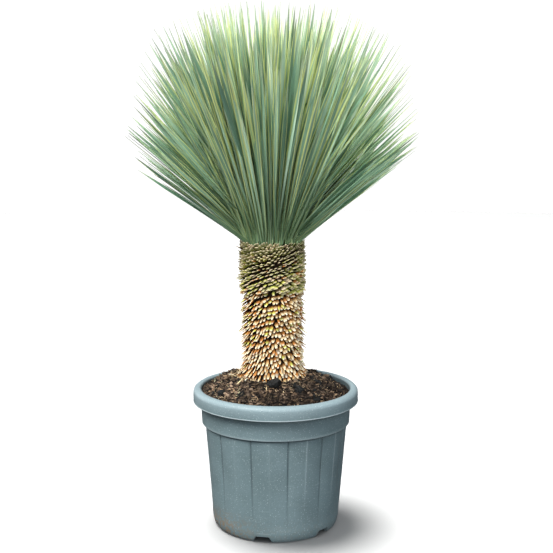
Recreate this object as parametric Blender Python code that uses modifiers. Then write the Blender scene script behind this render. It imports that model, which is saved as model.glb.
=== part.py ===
"""A potted yucca: a ball of stiff blue-green leaves on a scaly trunk, in a ribbed plastic nursery pot.

Metres, +Z up. The origin is the middle of the pot's foot, on the surface that the pot stands on.
The front of the plant looks towards -Y. The pot, the soil, the two colours of the trunk, the head of
leaves and the dark clods on the soil are separate solids that rest on each other.
"""
import math
import random

import bmesh
import bpy
from mathutils import Matrix, Vector

# Clearance between solids that rest on each other
GAP = 0.0003

# Pot: turned shell of moulded plastic
POT_STEPS = 48
POT_PHASE = math.radians(2.5)
POT_HEIGHT = 0.306
WALL = 0.003
RIM_RADIUS = 0.180
RIM_ROUND = 0.0105
RIM_INNER_ROUND = 0.006
RIM_SKIRT_FOOT = 0.276
RIM_LIP = 0.0005
RIM_LIP_HEIGHT = 0.002
RIM_UNDERSIDE = 0.300
MOUTH_RADIUS = 0.162
SHOULDER_TOP_RADIUS = 0.165
SHOULDER_FOOT_RADIUS = 0.1617
SHOULDER_FOOT = 0.230
BODY_TOP_RADIUS = 0.156
BODY_TOP = 0.2265
BODY_MIDDLE = 0.125
BODY_FOOT_RADIUS = 0.140
BODY_FOOT = 0.032
STEP_RISE = 0.003
CORNER = ((0.1378, 0.0144), (0.1340, 0.0045))
FOOT_RADIUS = 0.1305
FOOT_WIDTH = 0.004
FLOOR_UNDERSIDE = 0.014
FLOOR_TOP = 0.017
FLOOR_EDGE = 0.1245
FLOOR_CORNER = (0.1335, 0.022)

# Reeds down the pot's body: sharp creases with a round back between them
REED_COUNT = 12
REED_DEPTH = 0.0032
REED_FIRST_CREASE = math.radians(10.0)
REED_FADE = 0.045

# Openings in the pot's foot and floor
NOTCH_COUNT = 6
NOTCH_FIRST = math.radians(-12.0)
NOTCH_HEIGHT = 0.0135
NOTCH_FOOT_WIDTH = 0.039
NOTCH_TOP_WIDTH = 0.027
NOTCH_REACH = 0.020
DRAIN_COUNT = 6
DRAIN_RADIUS = 0.008
DRAIN_CIRCLE = 0.085
DRAIN_SIDES = 8
CENTRE_DRAIN_RADIUS = 0.010

# Trunk: its axis leans a little to the left as it rises
TRUNK_BASE_X = -0.0055
TRUNK_TOP_X = -0.0080
TRUNK_FOOT = 0.332
TRUNK_TOP = 0.628
COLOUR_CHANGE = 0.5245
STUMP_RADIUS = 0.058
STUMP_DEPTH = 0.062

# Lower trunk: dry leaf bases that point down, flared where they meet the soil
LOWER_COLUMNS = 30
LOWER_ROWS = 14
LOWER_RADIUS = 0.0585
SCALE_STAND = 0.0085
SCALE_DROP = 0.60
FLARE = 0.0100
FLARE_STAND = 0.0080
FLARE_HEIGHT = 0.045

# Upper trunk: cut leaf stubs that point outwards
UPPER_COLUMNS = 32
UPPER_ROWS = 10
UPPER_RADIUS = 0.0600
UPPER_SWELL = 0.0015
STUB_STAND = 0.0125
STUB_DROP = 0.10

# Soil: level round the trunk, sloping down to the wall, lowest at the right and the front
SOIL_TOP = 0.3312
SOIL_PLATEAU_RADIUS = 0.092
SOIL_RINGS = 5
SOIL_EDGE = 0.2940
SOIL_EDGE_RADIUS = 0.1608
SOIL_TILT_RIGHT = 0.0020
SOIL_TILT_FRONT = 0.0030
SOIL_BUMP = 0.0026
SOIL_SIDE_GAP = 0.0013
HOLE_RADIUS = STUMP_RADIUS + 0.0007
HOLE_FOOT = TRUNK_FOOT - STUMP_DEPTH - GAP

# Head of leaves: a slim dome that the leaves stand out of
CORE_RADIUS = 0.066
CORE_HEIGHT = 0.125
CORE_SHOULDER = 0.070
CORE_CHAMFER = 0.008
CORE_SIDES = 12
CORE_RINGS = 4
LEAF_COUNT = 455
LEAF_WIDTH = 0.0118
LEAF_ROOT_WIDTH = 0.0052
LEAF_KEEL = 0.0030
LEAF_WIDEST = 0.55
LEAF_SINK = 0.009
LEAF_ROOT_SPREAD = 0.92
LEAF_LOWEST = math.radians(61.0)
LEAF_ROLL = math.radians(25.0)
HEAD_X = -0.0060
HEAD_SEED = 29
GOLDEN_ANGLE = math.radians(137.508)
# Reach of the leaf tips from the top of the trunk, by their angle from the vertical in degrees
REACH = (
    (0, 0.502), (20, 0.506), (30, 0.497), (37, 0.466),
    (45, 0.416), (50, 0.402), (55, 0.380), (61, 0.325),
)

# Clods: x, y, half length, half height, share of the height below the soil, seed
CLODS = (
    (-0.0033, -0.1020, 0.0165, 0.0145, 0.32, 3),
    (-0.1125, -0.0830, 0.0115, 0.0115, 0.40, 5),
    (0.0500, -0.0980, 0.0110, 0.0090, 0.42, 8),
    (0.1190, 0.0370, 0.0125, 0.0125, 0.35, 13),
    (0.1425, 0.0180, 0.0095, 0.0090, 0.38, 21),
)
CLOD_BREADTH = 0.82
CLOD_HOLLOW = 1.05


def clear_objects():
    """Remove whatever the start-up file holds."""
    for old in list(bpy.data.objects):
        bpy.data.objects.remove(old, do_unlink=True)


def new_collection(name):
    """Add a collection to the scene."""
    collection = bpy.data.collections.new(name)
    bpy.context.scene.collection.children.link(collection)
    return collection


def finish(name, colour, roughness):
    """Return a non-metallic Principled BSDF material of a linear colour."""
    material = bpy.data.materials.new(name)
    material.use_nodes = True
    shader = material.node_tree.nodes["Principled BSDF"]
    shader.inputs["Base Color"].default_value = (*colour, 1.0)
    shader.inputs["Roughness"].default_value = roughness
    shader.inputs["Metallic"].default_value = 0.0
    return material


def add_object(name, mesh, collection, material=None):
    """Put a mesh into a collection as one object."""
    made = bpy.data.objects.new(name, mesh)
    collection.objects.link(made)
    if material:
        mesh.materials.clear()
        mesh.materials.append(material)
    return made


def add_shape(name, shape, collection, material=None):
    """Turn a bmesh into an object and free it."""
    mesh = bpy.data.meshes.new(name)
    shape.to_mesh(mesh)
    shape.free()
    return add_object(name, mesh, collection, material)


def evaluated_mesh(source):
    """Return a copy of an object's mesh with its modifiers applied."""
    bpy.context.view_layer.update()
    graph = bpy.context.evaluated_depsgraph_get()
    return bpy.data.meshes.new_from_object(source.evaluated_get(graph))


def share_of(value, start, end):
    """Return how far a value lies from a start to an end, held between 0 and 1."""
    return min(1.0, max(0.0, (value - start) / (end - start)))


def eased(share):
    """Ease a share between 0 and 1."""
    return share * share * (3.0 - 2.0 * share)


def arc(centre, radius, start, end, count):
    """Return points on a circle from one angle to another, in degrees."""
    points = []
    for index in range(count + 1):
        angle = math.radians(start + (end - start) * index / count)
        points.append((centre[0] + radius * math.cos(angle), centre[1] + radius * math.sin(angle)))
    return points


def turned_mesh(name, profile, steps, collection, closed=False):
    """Turn a profile of (radius, height) points round the Z axis with a Screw modifier.

    The profile runs down its outer side. An open one starts and ends on the axis.
    """
    mesh = bpy.data.meshes.new(name)
    edges = [(index, index + 1) for index in range(len(profile) - 1)]
    if closed:
        edges.append((len(profile) - 1, 0))
    mesh.from_pydata([(radius, 0.0, height) for radius, height in profile], edges, [])
    lathe = add_object(name + "_profile", mesh, collection)
    screw = lathe.modifiers.new("turn", "SCREW")
    screw.axis = "Z"
    screw.steps = steps
    screw.render_steps = steps
    screw.use_merge_vertices = True
    screw.merge_threshold = 0.0001
    result = evaluated_mesh(lathe)
    bpy.data.objects.remove(lathe, do_unlink=True)
    return result


def cut_with(target, cutters):
    """Cut a collection of closed shapes out of an object, and hide the cutters."""
    for cutter in cutters.objects:
        cutter.hide_render = True
        cutter.display_type = "WIRE"
    cut = target.modifiers.new("openings", "BOOLEAN")
    cut.operation = "DIFFERENCE"
    cut.solver = "EXACT"
    cut.operand_type = "COLLECTION"
    cut.collection = cutters


def front_azimuth(x, y):
    """Return the angle round the pot, from the front towards the right."""
    return math.atan2(x, -y)


def reed(x, y, z):
    """Return how far the body's wall is drawn in at a point: most in a crease, none at the foot."""
    if z > BODY_TOP + 1.5 * STEP_RISE or math.hypot(x, y) > BODY_TOP_RADIUS + GAP:
        return 0.0
    turn = (front_azimuth(x, y) - REED_FIRST_CREASE) * REED_COUNT / math.tau
    return REED_DEPTH * share_of(z, REED_FADE, BODY_TOP) * (1.0 - math.sin(math.pi * (turn % 1.0)))


def press_reeds(mesh):
    """Turn a lathed wall so that its points meet the creases, and press the reeds into it."""
    mesh.transform(Matrix.Rotation(POT_PHASE, 4, "Z"))
    for vertex in mesh.vertices:
        x, y, z = vertex.co
        radius = math.hypot(x, y)
        if radius > FLOOR_EDGE:
            shrink = 1.0 - reed(x, y, z) / radius
            vertex.co = (x * shrink, y * shrink, z)


def inner_wall(inset, rise):
    """Return the inner face from the floor to the shoulder, moved in and up by two distances."""
    middle_radius = (BODY_FOOT_RADIUS + BODY_TOP_RADIUS) / 2
    return [
        (FLOOR_EDGE - inset, FLOOR_TOP + rise),
        (FLOOR_CORNER[0] - inset, FLOOR_CORNER[1] + rise),
        (BODY_FOOT_RADIUS - WALL - inset, BODY_FOOT + rise),
        (middle_radius - WALL - inset, BODY_MIDDLE),
        (BODY_TOP_RADIUS - WALL - inset, BODY_TOP + STEP_RISE + rise),
        (SHOULDER_FOOT_RADIUS - WALL - inset, SHOULDER_FOOT + STEP_RISE + rise),
    ]


def pot_profile():
    """Return the pot's closed section, down the outside, under the floor and up the inside."""
    rim_centre = (RIM_RADIUS - RIM_ROUND, POT_HEIGHT - RIM_ROUND)
    mouth_centre = (MOUTH_RADIUS + RIM_INNER_ROUND, POT_HEIGHT - RIM_INNER_ROUND)
    rim = arc(rim_centre, RIM_ROUND, 90, 0, 3)
    rim += [
        (RIM_RADIUS + RIM_LIP, RIM_SKIRT_FOOT + RIM_LIP_HEIGHT),
        (RIM_RADIUS - RIM_LIP, RIM_SKIRT_FOOT),
        (RIM_RADIUS - WALL, RIM_SKIRT_FOOT),
    ]
    rim += arc(rim_centre, RIM_ROUND - WALL, 0, 90, 1)
    body = [
        (SHOULDER_TOP_RADIUS, RIM_UNDERSIDE),
        (SHOULDER_FOOT_RADIUS, SHOULDER_FOOT),
        (SHOULDER_FOOT_RADIUS - 0.0015, SHOULDER_FOOT - 0.002),
        (BODY_TOP_RADIUS, BODY_TOP),
        ((BODY_FOOT_RADIUS + BODY_TOP_RADIUS) / 2, BODY_MIDDLE),
        (BODY_FOOT_RADIUS, BODY_FOOT),
        *CORNER,
        (FOOT_RADIUS, 0.0),
    ]
    under = [
        (FOOT_RADIUS - FOOT_WIDTH, 0.0),
        (FOOT_RADIUS - FOOT_WIDTH, FLOOR_UNDERSIDE),
        (CENTRE_DRAIN_RADIUS, FLOOR_UNDERSIDE),
        (CENTRE_DRAIN_RADIUS, FLOOR_TOP),
    ]
    return rim + body + under + inner_wall(0.0, 0.0) + arc(mouth_centre, RIM_INNER_ROUND, 180, 90, 2)


def notch_cutter(azimuth, collection):
    """Add a cutter for one drainage notch, wider at its foot, through the foot ring."""
    shape = bmesh.new()
    bmesh.ops.create_cube(shape, size=1.0)
    for vertex in shape.verts:
        above = vertex.co.z > 0.0
        width = NOTCH_TOP_WIDTH if above else NOTCH_FOOT_WIDTH
        height = NOTCH_HEIGHT if above else -NOTCH_HEIGHT
        radius = FOOT_RADIUS - math.copysign(NOTCH_REACH, vertex.co.y)
        vertex.co = (math.copysign(width / 2, vertex.co.x), -radius, height)
    bmesh.ops.transform(shape, matrix=Matrix.Rotation(azimuth, 4, "Z"), verts=shape.verts)
    add_shape("notch_cutter", shape, collection)


def drain_cutter(azimuth, collection):
    """Add a cutter for one round drain hole through the raised floor."""
    shape = bmesh.new()
    place = Matrix.Rotation(azimuth, 4, "Z") @ Matrix.Translation((0.0, -DRAIN_CIRCLE, FLOOR_TOP))
    bmesh.ops.create_cone(
        shape, cap_ends=True, segments=DRAIN_SIDES, radius1=DRAIN_RADIUS, radius2=DRAIN_RADIUS,
        depth=4 * WALL, matrix=place)
    add_shape("drain_cutter", shape, collection)


def make_pot(parts, material):
    """Make the pot: rolled rim, plain shoulder, step, reeded body, rounded foot with notches."""
    mesh = turned_mesh("pot", pot_profile(), POT_STEPS, parts, closed=True)
    press_reeds(mesh)
    mesh.shade_smooth()
    mesh.set_sharp_from_angle(angle=math.radians(35.0))
    pot = add_object("pot", mesh, parts, material)
    cutters = new_collection("pot_cutters")
    for index in range(NOTCH_COUNT):
        notch_cutter(NOTCH_FIRST + index * math.tau / NOTCH_COUNT, cutters)
    for index in range(DRAIN_COUNT):
        drain_cutter(NOTCH_FIRST + (index + 0.5) * math.tau / DRAIN_COUNT, cutters)
    cut_with(pot, cutters)


def soil_height(x, y):
    """Return the height of the soil's surface: level round the trunk, falling to the wall."""
    azimuth = front_azimuth(x, y)
    edge = SOIL_EDGE - SOIL_TILT_RIGHT * math.sin(azimuth) - SOIL_TILT_FRONT * math.cos(azimuth)
    share = share_of(math.hypot(x - TRUNK_BASE_X, y), SOIL_PLATEAU_RADIUS, MOUTH_RADIUS)
    wave = math.sin(x * 118.0 + 0.6) * math.sin(y * 97.0 + 1.9) + 0.6 * math.sin(x * 61.0 - y * 73.0)
    return SOIL_TOP + (edge - SOIL_TOP) * eased(share) + SOIL_BUMP * wave * math.sin(math.pi * share)


def shape_soil(mesh):
    """Lay the soil's top on its height formula, and set its hole round the leaning trunk."""
    for vertex in mesh.vertices:
        x, y, z = vertex.co
        if z < HOLE_FOOT - GAP:
            continue
        x += TRUNK_BASE_X * (1.0 - share_of(math.hypot(x, y), HOLE_RADIUS, SOIL_EDGE_RADIUS - WALL))
        if z > HOLE_FOOT + GAP:
            z = soil_height(x, y)
        vertex.co = (x, y, z)


def make_soil(parts, material, clods):
    """Make the soil: it fills the pot, with a plain hole for the trunk and a hollow under each clod."""
    top = []
    for index in range(SOIL_RINGS + 1):
        share = index / SOIL_RINGS
        top.append((HOLE_RADIUS + (SOIL_EDGE_RADIUS - HOLE_RADIUS) * share, SOIL_TOP))
    side = inner_wall(SOIL_SIDE_GAP, GAP)[::-1]
    profile = [(0.0, HOLE_FOOT), (HOLE_RADIUS, HOLE_FOOT)] + top + side + [(0.0, FLOOR_TOP + GAP)]
    mesh = turned_mesh("soil", profile, POT_STEPS, parts)
    press_reeds(mesh)
    shape_soil(mesh)
    soil = add_object("soil", mesh, parts, material)
    cutters = new_collection("soil_cutters")
    for clod in clods:
        centre = sum((Vector(corner) for corner in clod.bound_box), Vector()) / 8
        grow = Matrix.Translation(centre) @ Matrix.Scale(CLOD_HOLLOW, 4) @ Matrix.Translation(-centre)
        hollow = clod.data.copy()
        hollow.transform(grow)
        add_object("hollow_cutter", hollow, cutters)
    cut_with(soil, cutters)


def make_clod(name, place, parts, material):
    """Make one angular lump from an icosphere whose points are moved by a seeded draw."""
    x, y, half_length, half_height, sunk, seed = place
    draw = random.Random(seed)
    shape = bmesh.new()
    bmesh.ops.create_icosphere(shape, subdivisions=2, radius=1.0)
    for vertex in shape.verts:
        swell = draw.uniform(0.86, 1.10)
        vertex.co *= swell
    size = Matrix.Diagonal((half_length, half_length * CLOD_BREADTH, half_height, 1.0))
    height = soil_height(x, y) + half_height * (1.0 - 2.0 * sunk)
    turn = Matrix.Rotation(draw.uniform(0.0, math.pi), 4, "Z")
    bmesh.ops.transform(shape, matrix=Matrix.Translation((x, y, height)) @ turn @ size, verts=shape.verts)
    return add_shape(name, shape, parts, material)


def trunk_centre(z):
    """Return the x of the trunk's axis at a height."""
    return TRUNK_BASE_X + (TRUNK_TOP_X - TRUNK_BASE_X) * share_of(z, TRUNK_FOOT, TRUNK_TOP)


def ring_points(shape, columns, z, radius, turn=0.0):
    """Add a ring of points round the trunk's axis, turned by a share of a column."""
    ring = []
    for column in range(columns):
        angle = math.tau * (column + turn) / columns
        place = (trunk_centre(z) + radius * math.cos(angle), radius * math.sin(angle), z)
        ring.append(shape.verts.new(place))
    return ring


def join_rings(shape, upper, lower):
    """Join two rings with plain quads that face outwards or, where the upper is wider, down."""
    columns = len(upper)
    for column in range(columns):
        beyond = (column + 1) % columns
        shape.faces.new((upper[column], lower[column], lower[beyond], upper[beyond]))


def scale_lattice(shape, rings):
    """Join rings that are turned by half a column in turn with diamonds, and half ones at the ends.

    Returns the faces, each of which becomes one scale.
    """
    columns = len(rings[0])
    last = len(rings) - 1
    scales = []
    for column in range(columns):
        beyond = (column + 1) % columns
        for row in range(1, last):
            middle = (column + row % 2) % columns
            below, level, above = rings[row - 1:row + 2]
            corners = (below[middle], level[beyond], above[middle], level[column])
            scales.append(shape.faces.new(corners))
        scales.append(shape.faces.new((rings[0][column], rings[0][beyond], rings[1][column])))
        middle = (column + last % 2) % columns
        scales.append(shape.faces.new((rings[last][beyond], rings[last][column], rings[last - 1][middle])))
    return scales


def raise_scales(shape, scales, stand, drop, floor, seed):
    """Poke each face and pull its middle out and down, but not below a floor, to stand as a scale."""
    draw = random.Random(seed)
    for tip in bmesh.ops.poke(shape, faces=scales)["verts"]:
        outward = Vector((tip.co.x - trunk_centre(tip.co.z), tip.co.y, 0.0)).normalized()
        tip.co += outward * stand(tip.co.z) * draw.uniform(0.75, 1.15)
        tip.co.z = max(floor, tip.co.z - drop * draw.uniform(0.8, 1.1))


def flare(z):
    """Return how strongly the foot of the trunk spreads at a height, from 1 at the soil to 0."""
    return 1.0 - eased(share_of(z, TRUNK_FOOT, TRUNK_FOOT + FLARE_HEIGHT))


def make_lower_trunk(parts, material):
    """Make the tan part of the trunk, with its plain stump that stands in the soil."""
    shape = bmesh.new()
    pitch = (COLOUR_CHANGE - GAP - TRUNK_FOOT) / LOWER_ROWS
    rings = []
    for row in range(LOWER_ROWS + 1):
        z = TRUNK_FOOT + row * pitch
        rings.append(ring_points(shape, LOWER_COLUMNS, z, LOWER_RADIUS + FLARE * flare(z), row % 2 / 2))
    scales = scale_lattice(shape, rings)
    shape.faces.new(rings[-1])
    stump_top = ring_points(shape, LOWER_COLUMNS, TRUNK_FOOT, STUMP_RADIUS)
    stump_foot = ring_points(shape, LOWER_COLUMNS, TRUNK_FOOT - STUMP_DEPTH, STUMP_RADIUS)
    join_rings(shape, rings[0], stump_top)
    join_rings(shape, stump_top, stump_foot)
    shape.faces.new(stump_foot[::-1])

    def stand(z):
        return SCALE_STAND + FLARE_STAND * flare(z)

    raise_scales(shape, scales, stand, SCALE_DROP * pitch, TRUNK_FOOT + GAP, seed=7)
    add_shape("lower_trunk", shape, parts, material)


def make_upper_trunk(parts, material):
    """Make the olive part of the trunk, covered with cut leaf stubs."""
    shape = bmesh.new()
    pitch = (TRUNK_TOP - COLOUR_CHANGE) / UPPER_ROWS
    rings = []
    for row in range(UPPER_ROWS + 1):
        radius = UPPER_RADIUS + UPPER_SWELL * math.sin(math.pi * row / UPPER_ROWS)
        rings.append(ring_points(shape, UPPER_COLUMNS, COLOUR_CHANGE + row * pitch, radius, row % 2 / 2))
    scales = scale_lattice(shape, rings)
    shape.faces.new(rings[-1])
    shape.faces.new(rings[0][::-1])
    raise_scales(shape, scales, lambda z: STUB_STAND, STUB_DROP * pitch, COLOUR_CHANGE + GAP, seed=11)
    add_shape("upper_trunk", shape, parts, material)


def core_profile():
    """Return the dome's section, from its top down to its foot."""
    foot = TRUNK_TOP + GAP
    dome = CORE_HEIGHT - CORE_SHOULDER
    section = []
    for index in range(CORE_RINGS + 1):
        angle = math.radians(90.0 * (1.0 - index / CORE_RINGS))
        height = foot + CORE_SHOULDER + dome * math.sin(angle)
        section.append((CORE_RADIUS * math.cos(angle), height))
    section[0] = (0.0, foot + CORE_HEIGHT)
    return section + [(CORE_RADIUS, foot + CORE_CHAMFER), (UPPER_RADIUS, foot)]


def point_on_core(section, share):
    """Return (radius, height) on the dome, with equal shares for equal areas from its top down."""
    areas = []
    for (r0, z0), (r1, z1) in zip(section, section[1:]):
        areas.append((r0 + r1) * math.hypot(r1 - r0, z1 - z0))
    left = share * sum(areas)
    for (r0, z0), (r1, z1), area in zip(section, section[1:], areas):
        if left <= area:
            along = left / area
            return r0 + (r1 - r0) * along, z0 + (z1 - z0) * along
        left -= area
    return section[-1]


def reach(angle):
    """Return how far a leaf tip lies from the top of the trunk, at an angle from the vertical."""
    degrees = math.degrees(angle)
    for (low, near), (high, far) in zip(REACH, REACH[1:]):
        if degrees <= high:
            return near + (far - near) * share_of(degrees, low, high)
    return REACH[-1][1]


def leaf_ends(index, section, draw):
    """Return the root and the tip of one leaf, placed by the golden angle from the top down."""
    share = (index + 0.5) / LEAF_COUNT
    angle = math.acos(1.0 - share * (1.0 - math.cos(LEAF_LOWEST)))
    azimuth = index * GOLDEN_ANGLE
    around = Vector((math.cos(azimuth), math.sin(azimuth), 0.0))
    radius, height = point_on_core(section, share * LEAF_ROOT_SPREAD)
    foot = Vector((TRUNK_TOP_X, 0.0, height)) + around * radius
    length = reach(angle) * (draw.uniform(0.95, 1.0) if draw.random() < 0.7 else draw.uniform(0.80, 0.95))
    tip = Vector((HEAD_X, 0.0, TRUNK_TOP)) + around * (length * math.sin(angle))
    tip.z += length * math.cos(angle)
    return foot - LEAF_SINK * (tip - foot).normalized(), tip


def add_leaf(name, root, tip, width, roll, collection):
    """Add a straight three-sided blade, flat above and keeled below, widest past its middle."""
    along = (tip - root).normalized()
    side = Matrix.Rotation(roll, 3, along) @ along.cross(Vector((0.0, 0.0, 1.0))).normalized()
    under = along.cross(side)
    points = []
    for share, breadth in ((0.0, LEAF_ROOT_WIDTH), (LEAF_WIDEST, width)):
        centre = root.lerp(tip, share)
        points += [centre - side * breadth / 2, centre + side * breadth / 2, centre + under * LEAF_KEEL]
    points.append(tip)
    root_cap = [(2, 1, 0)]
    sides = [(0, 1, 4, 3), (1, 2, 5, 4), (2, 0, 3, 5)]
    point = [(3, 4, 6), (4, 5, 6), (5, 3, 6)]
    mesh = bpy.data.meshes.new(name)
    mesh.from_pydata(points, [], root_cap + sides + point)
    add_object(name, mesh, collection)


def make_leaf_crown(parts, material):
    """Make the head: a slim dome with the leaves' roots sunk in it, joined into one solid."""
    section = core_profile()
    foot = [(0.0, TRUNK_TOP + GAP)]
    dome = turned_mesh("leaf_core", section + foot, CORE_SIDES, parts)
    dome.transform(Matrix.Translation((TRUNK_TOP_X, 0.0, 0.0)))
    core = add_object("leaf_core", dome, parts)
    leaves = new_collection("leaves")
    draw = random.Random(HEAD_SEED)
    for index in range(LEAF_COUNT):
        root, tip = leaf_ends(index, section, draw)
        width = LEAF_WIDTH * draw.uniform(0.88, 1.08)
        add_leaf(f"leaf_{index}", root, tip, width, draw.uniform(-LEAF_ROLL, LEAF_ROLL), leaves)
    union = core.modifiers.new("leaves", "BOOLEAN")
    union.operation = "UNION"
    union.solver = "MANIFOLD"
    union.operand_type = "COLLECTION"
    union.collection = leaves
    joined = evaluated_mesh(core)
    for leaf in list(leaves.objects):
        bpy.data.objects.remove(leaf, do_unlink=True)
    bpy.data.collections.remove(leaves)
    bpy.data.objects.remove(core, do_unlink=True)
    add_object("leaf_crown", joined, parts, material)


def main():
    """Build the pot, the soil, the trunk, the head of leaves and the clods."""
    clear_objects()
    parts = new_collection("potted_yucca")
    plastic = finish("pot_plastic", (0.165, 0.238, 0.262), 0.55)
    earth = finish("potting_soil", (0.070, 0.052, 0.040), 0.95)
    straw = finish("dry_leaf_bases", (0.430, 0.310, 0.170), 0.80)
    olive = finish("cut_leaf_stubs", (0.150, 0.130, 0.065), 0.75)
    foliage = finish("yucca_leaf", (0.200, 0.290, 0.150), 0.50)
    charcoal = finish("dark_clod", (0.028, 0.026, 0.025), 0.90)
    clods = []
    for index, place in enumerate(CLODS):
        clods.append(make_clod(f"clod_{index + 1}", place, parts, charcoal))
    make_pot(parts, plastic)
    make_soil(parts, earth, clods)
    make_lower_trunk(parts, straw)
    make_upper_trunk(parts, olive)
    make_leaf_crown(parts, foliage)


main()
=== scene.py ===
"""Looks of a potted yucca: its fine surfaces and finishes, a pale floor, soft light and the camera.

Metres, +Z up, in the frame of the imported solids, with the front of the plant towards -Y. Each class
builds one sub-assembly: the nursery pot, the soil and what lies on it, the clods, the trunk's two
coats of leaf bases, the head of leaves, and the studio round them.
"""

import logging
import math
from dataclasses import dataclass
from enum import Enum
from typing import Any

import bpy
import numpy as np
from numpy.typing import NDArray
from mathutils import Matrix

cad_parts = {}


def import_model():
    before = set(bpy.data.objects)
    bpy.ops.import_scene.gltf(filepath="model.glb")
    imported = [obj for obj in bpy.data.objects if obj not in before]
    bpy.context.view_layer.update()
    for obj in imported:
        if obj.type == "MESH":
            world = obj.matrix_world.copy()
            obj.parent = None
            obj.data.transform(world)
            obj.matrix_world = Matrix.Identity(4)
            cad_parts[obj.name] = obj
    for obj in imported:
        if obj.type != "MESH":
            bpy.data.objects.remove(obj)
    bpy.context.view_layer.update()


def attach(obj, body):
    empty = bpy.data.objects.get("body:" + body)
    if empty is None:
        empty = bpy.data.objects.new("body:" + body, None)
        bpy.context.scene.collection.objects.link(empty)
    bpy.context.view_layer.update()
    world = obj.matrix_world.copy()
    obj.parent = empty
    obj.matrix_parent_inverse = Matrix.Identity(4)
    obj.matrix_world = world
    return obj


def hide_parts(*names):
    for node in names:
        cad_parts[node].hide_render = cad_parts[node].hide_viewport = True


Array = NDArray[np.float64]
LOG = logging.getLogger("potted_yucca")
GOLDEN_ANGLE = math.radians(137.508)
UP = np.array([0.0, 0.0, 1.0])
MILLIMETRE = 0.001

# Sockets of the Mix node when it mixes colours: factor, the two colours, and the result
FACTOR, FIRST, SECOND, MIXED = 0, 6, 7, 2


def share_of(value: Array | float, start: float, end: float) -> Array:
    """Return how far a value lies from a start to an end, held between 0 and 1."""
    return np.clip((np.asarray(value, float) - start) / (end - start), 0.0, 1.0)


def eased(share: Array) -> Array:
    """Ease a share between 0 and 1: three times its square less twice its cube."""
    return share * share * (3.0 - 2.0 * share)


def graded(pair: tuple[float, float], share: Array) -> Array:
    """Return values that go evenly from a pair's first to its second with a share."""
    return pair[0] + (pair[1] - pair[0]) * share


def linear(colour: str) -> tuple[float, float, float, float]:
    """Turn an sRGB hex colour into linear light.

    Args:
        colour: a hex colour such as #8ba2ab.

    Returns:
        Linear red, green and blue, and an alpha of 1.
    """
    parts = [int(colour[start:start + 2], 16) / 255.0 for start in (1, 3, 5)]
    bright = [part / 12.92 if part <= 0.04045 else ((part + 0.055) / 1.055) ** 2.4 for part in parts]
    return bright[0], bright[1], bright[2], 1.0


def value_noise(points: Array, cell: float, seed: int) -> Array:
    """Return smooth noise between -1 and 1 at each point.

    Each corner of a lattice of cubic cells holds a number hashed from its place, and a point takes
    the eased mean of the eight corners round it.

    Args:
        points: places, with x, y and z last.
        cell: side of a cell in metres.
        seed: picks another noise of the same kind.

    Returns:
        One number for each place.
    """
    scaled = points / cell
    low = np.floor(scaled).astype(np.int64)
    part = eased(scaled - low)
    total = np.zeros(points.shape[:-1])
    for corner in np.ndindex(2, 2, 2):
        at = low + corner
        mixed = at[..., 0] * 73856093 ^ at[..., 1] * 19349663 ^ at[..., 2] * 83492791 ^ seed * 26544357
        mixed = (mixed ^ mixed >> 13) * 1274126177
        drawn = (mixed >> 8 & 0xFFFF) / 32767.5 - 1.0
        total += drawn * np.prod(np.where(corner, part, 1.0 - part), axis=-1)
    return total


def layered_noise(points: Array, cell: float, layers: int, seed: int) -> Array:
    """Return a sum of noises, each with cells and weight half those of the one before.

    Args:
        points: places, with x, y and z last.
        cell: side of the first noise's cells in metres.
        layers: how many noises there are.
        seed: picks another sum of the same kind.

    Returns:
        One number for each place.
    """
    total = np.zeros(points.shape[:-1])
    for layer in range(layers):
        total += value_noise(points, cell * 0.5 ** layer, seed + layer) * 0.5 ** layer
    return total


def around(angle: Array) -> Array:
    """Return level unit vectors at angles from +X towards +Y."""
    return np.stack((np.cos(angle), np.sin(angle), np.zeros_like(angle)), axis=-1)


def unit(vectors: Array) -> Array:
    """Return vectors scaled to a length of 1."""
    return vectors / np.linalg.norm(vectors, axis=-1, keepdims=True)


def arc(centre: tuple[float, float], radius: float, start: float, end: float, count: int) -> Array:
    """Return points on a circle from one angle to another, in degrees."""
    angle = np.radians(np.linspace(start, end, count))
    return np.stack((centre[0] + radius * np.cos(angle), centre[1] + radius * np.sin(angle)), axis=-1)


def run(start: tuple[float, float], end: tuple[float, float], count: int) -> Array:
    """Return points evenly along a line, without its last one."""
    return np.linspace(start, end, count, endpoint=False)


def swept(centre: Array, side: Array, lift: Array, section: Array) -> Array:
    """Carry a section along many paths.

    Each point is the path's centre, plus the section's x times the side vector, plus the section's y
    times the lift vector. Both vectors already have the half width and the thickness as lengths.

    Args:
        centre: (bodies, rings, 3) places along each path.
        side: (bodies, rings, 3) vectors across each path.
        lift: (bodies, rings, 3) vectors up from each path.
        section: (points, 2) closed outline.

    Returns:
        (bodies, rings, points, 3) places.
    """
    across = side[:, :, None] * section[:, 0, None]
    upward = lift[:, :, None] * section[:, 1, None]
    return centre[:, :, None] + across + upward


def revolved(section: Array, angles: Array) -> Array:
    """Turn a section round the Z axis.

    Each place is the level unit vector at its angle times its radius, raised to its height.

    Args:
        section: (points, 2) radii and heights.
        angles: angles from +X towards +Y.

    Returns:
        (1, points, angles, 3) places.
    """
    place = around(angles)[None, :, :] * section[:, 0, None, None]
    place[..., 2] = section[:, 1, None]
    return place[None]


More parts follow.
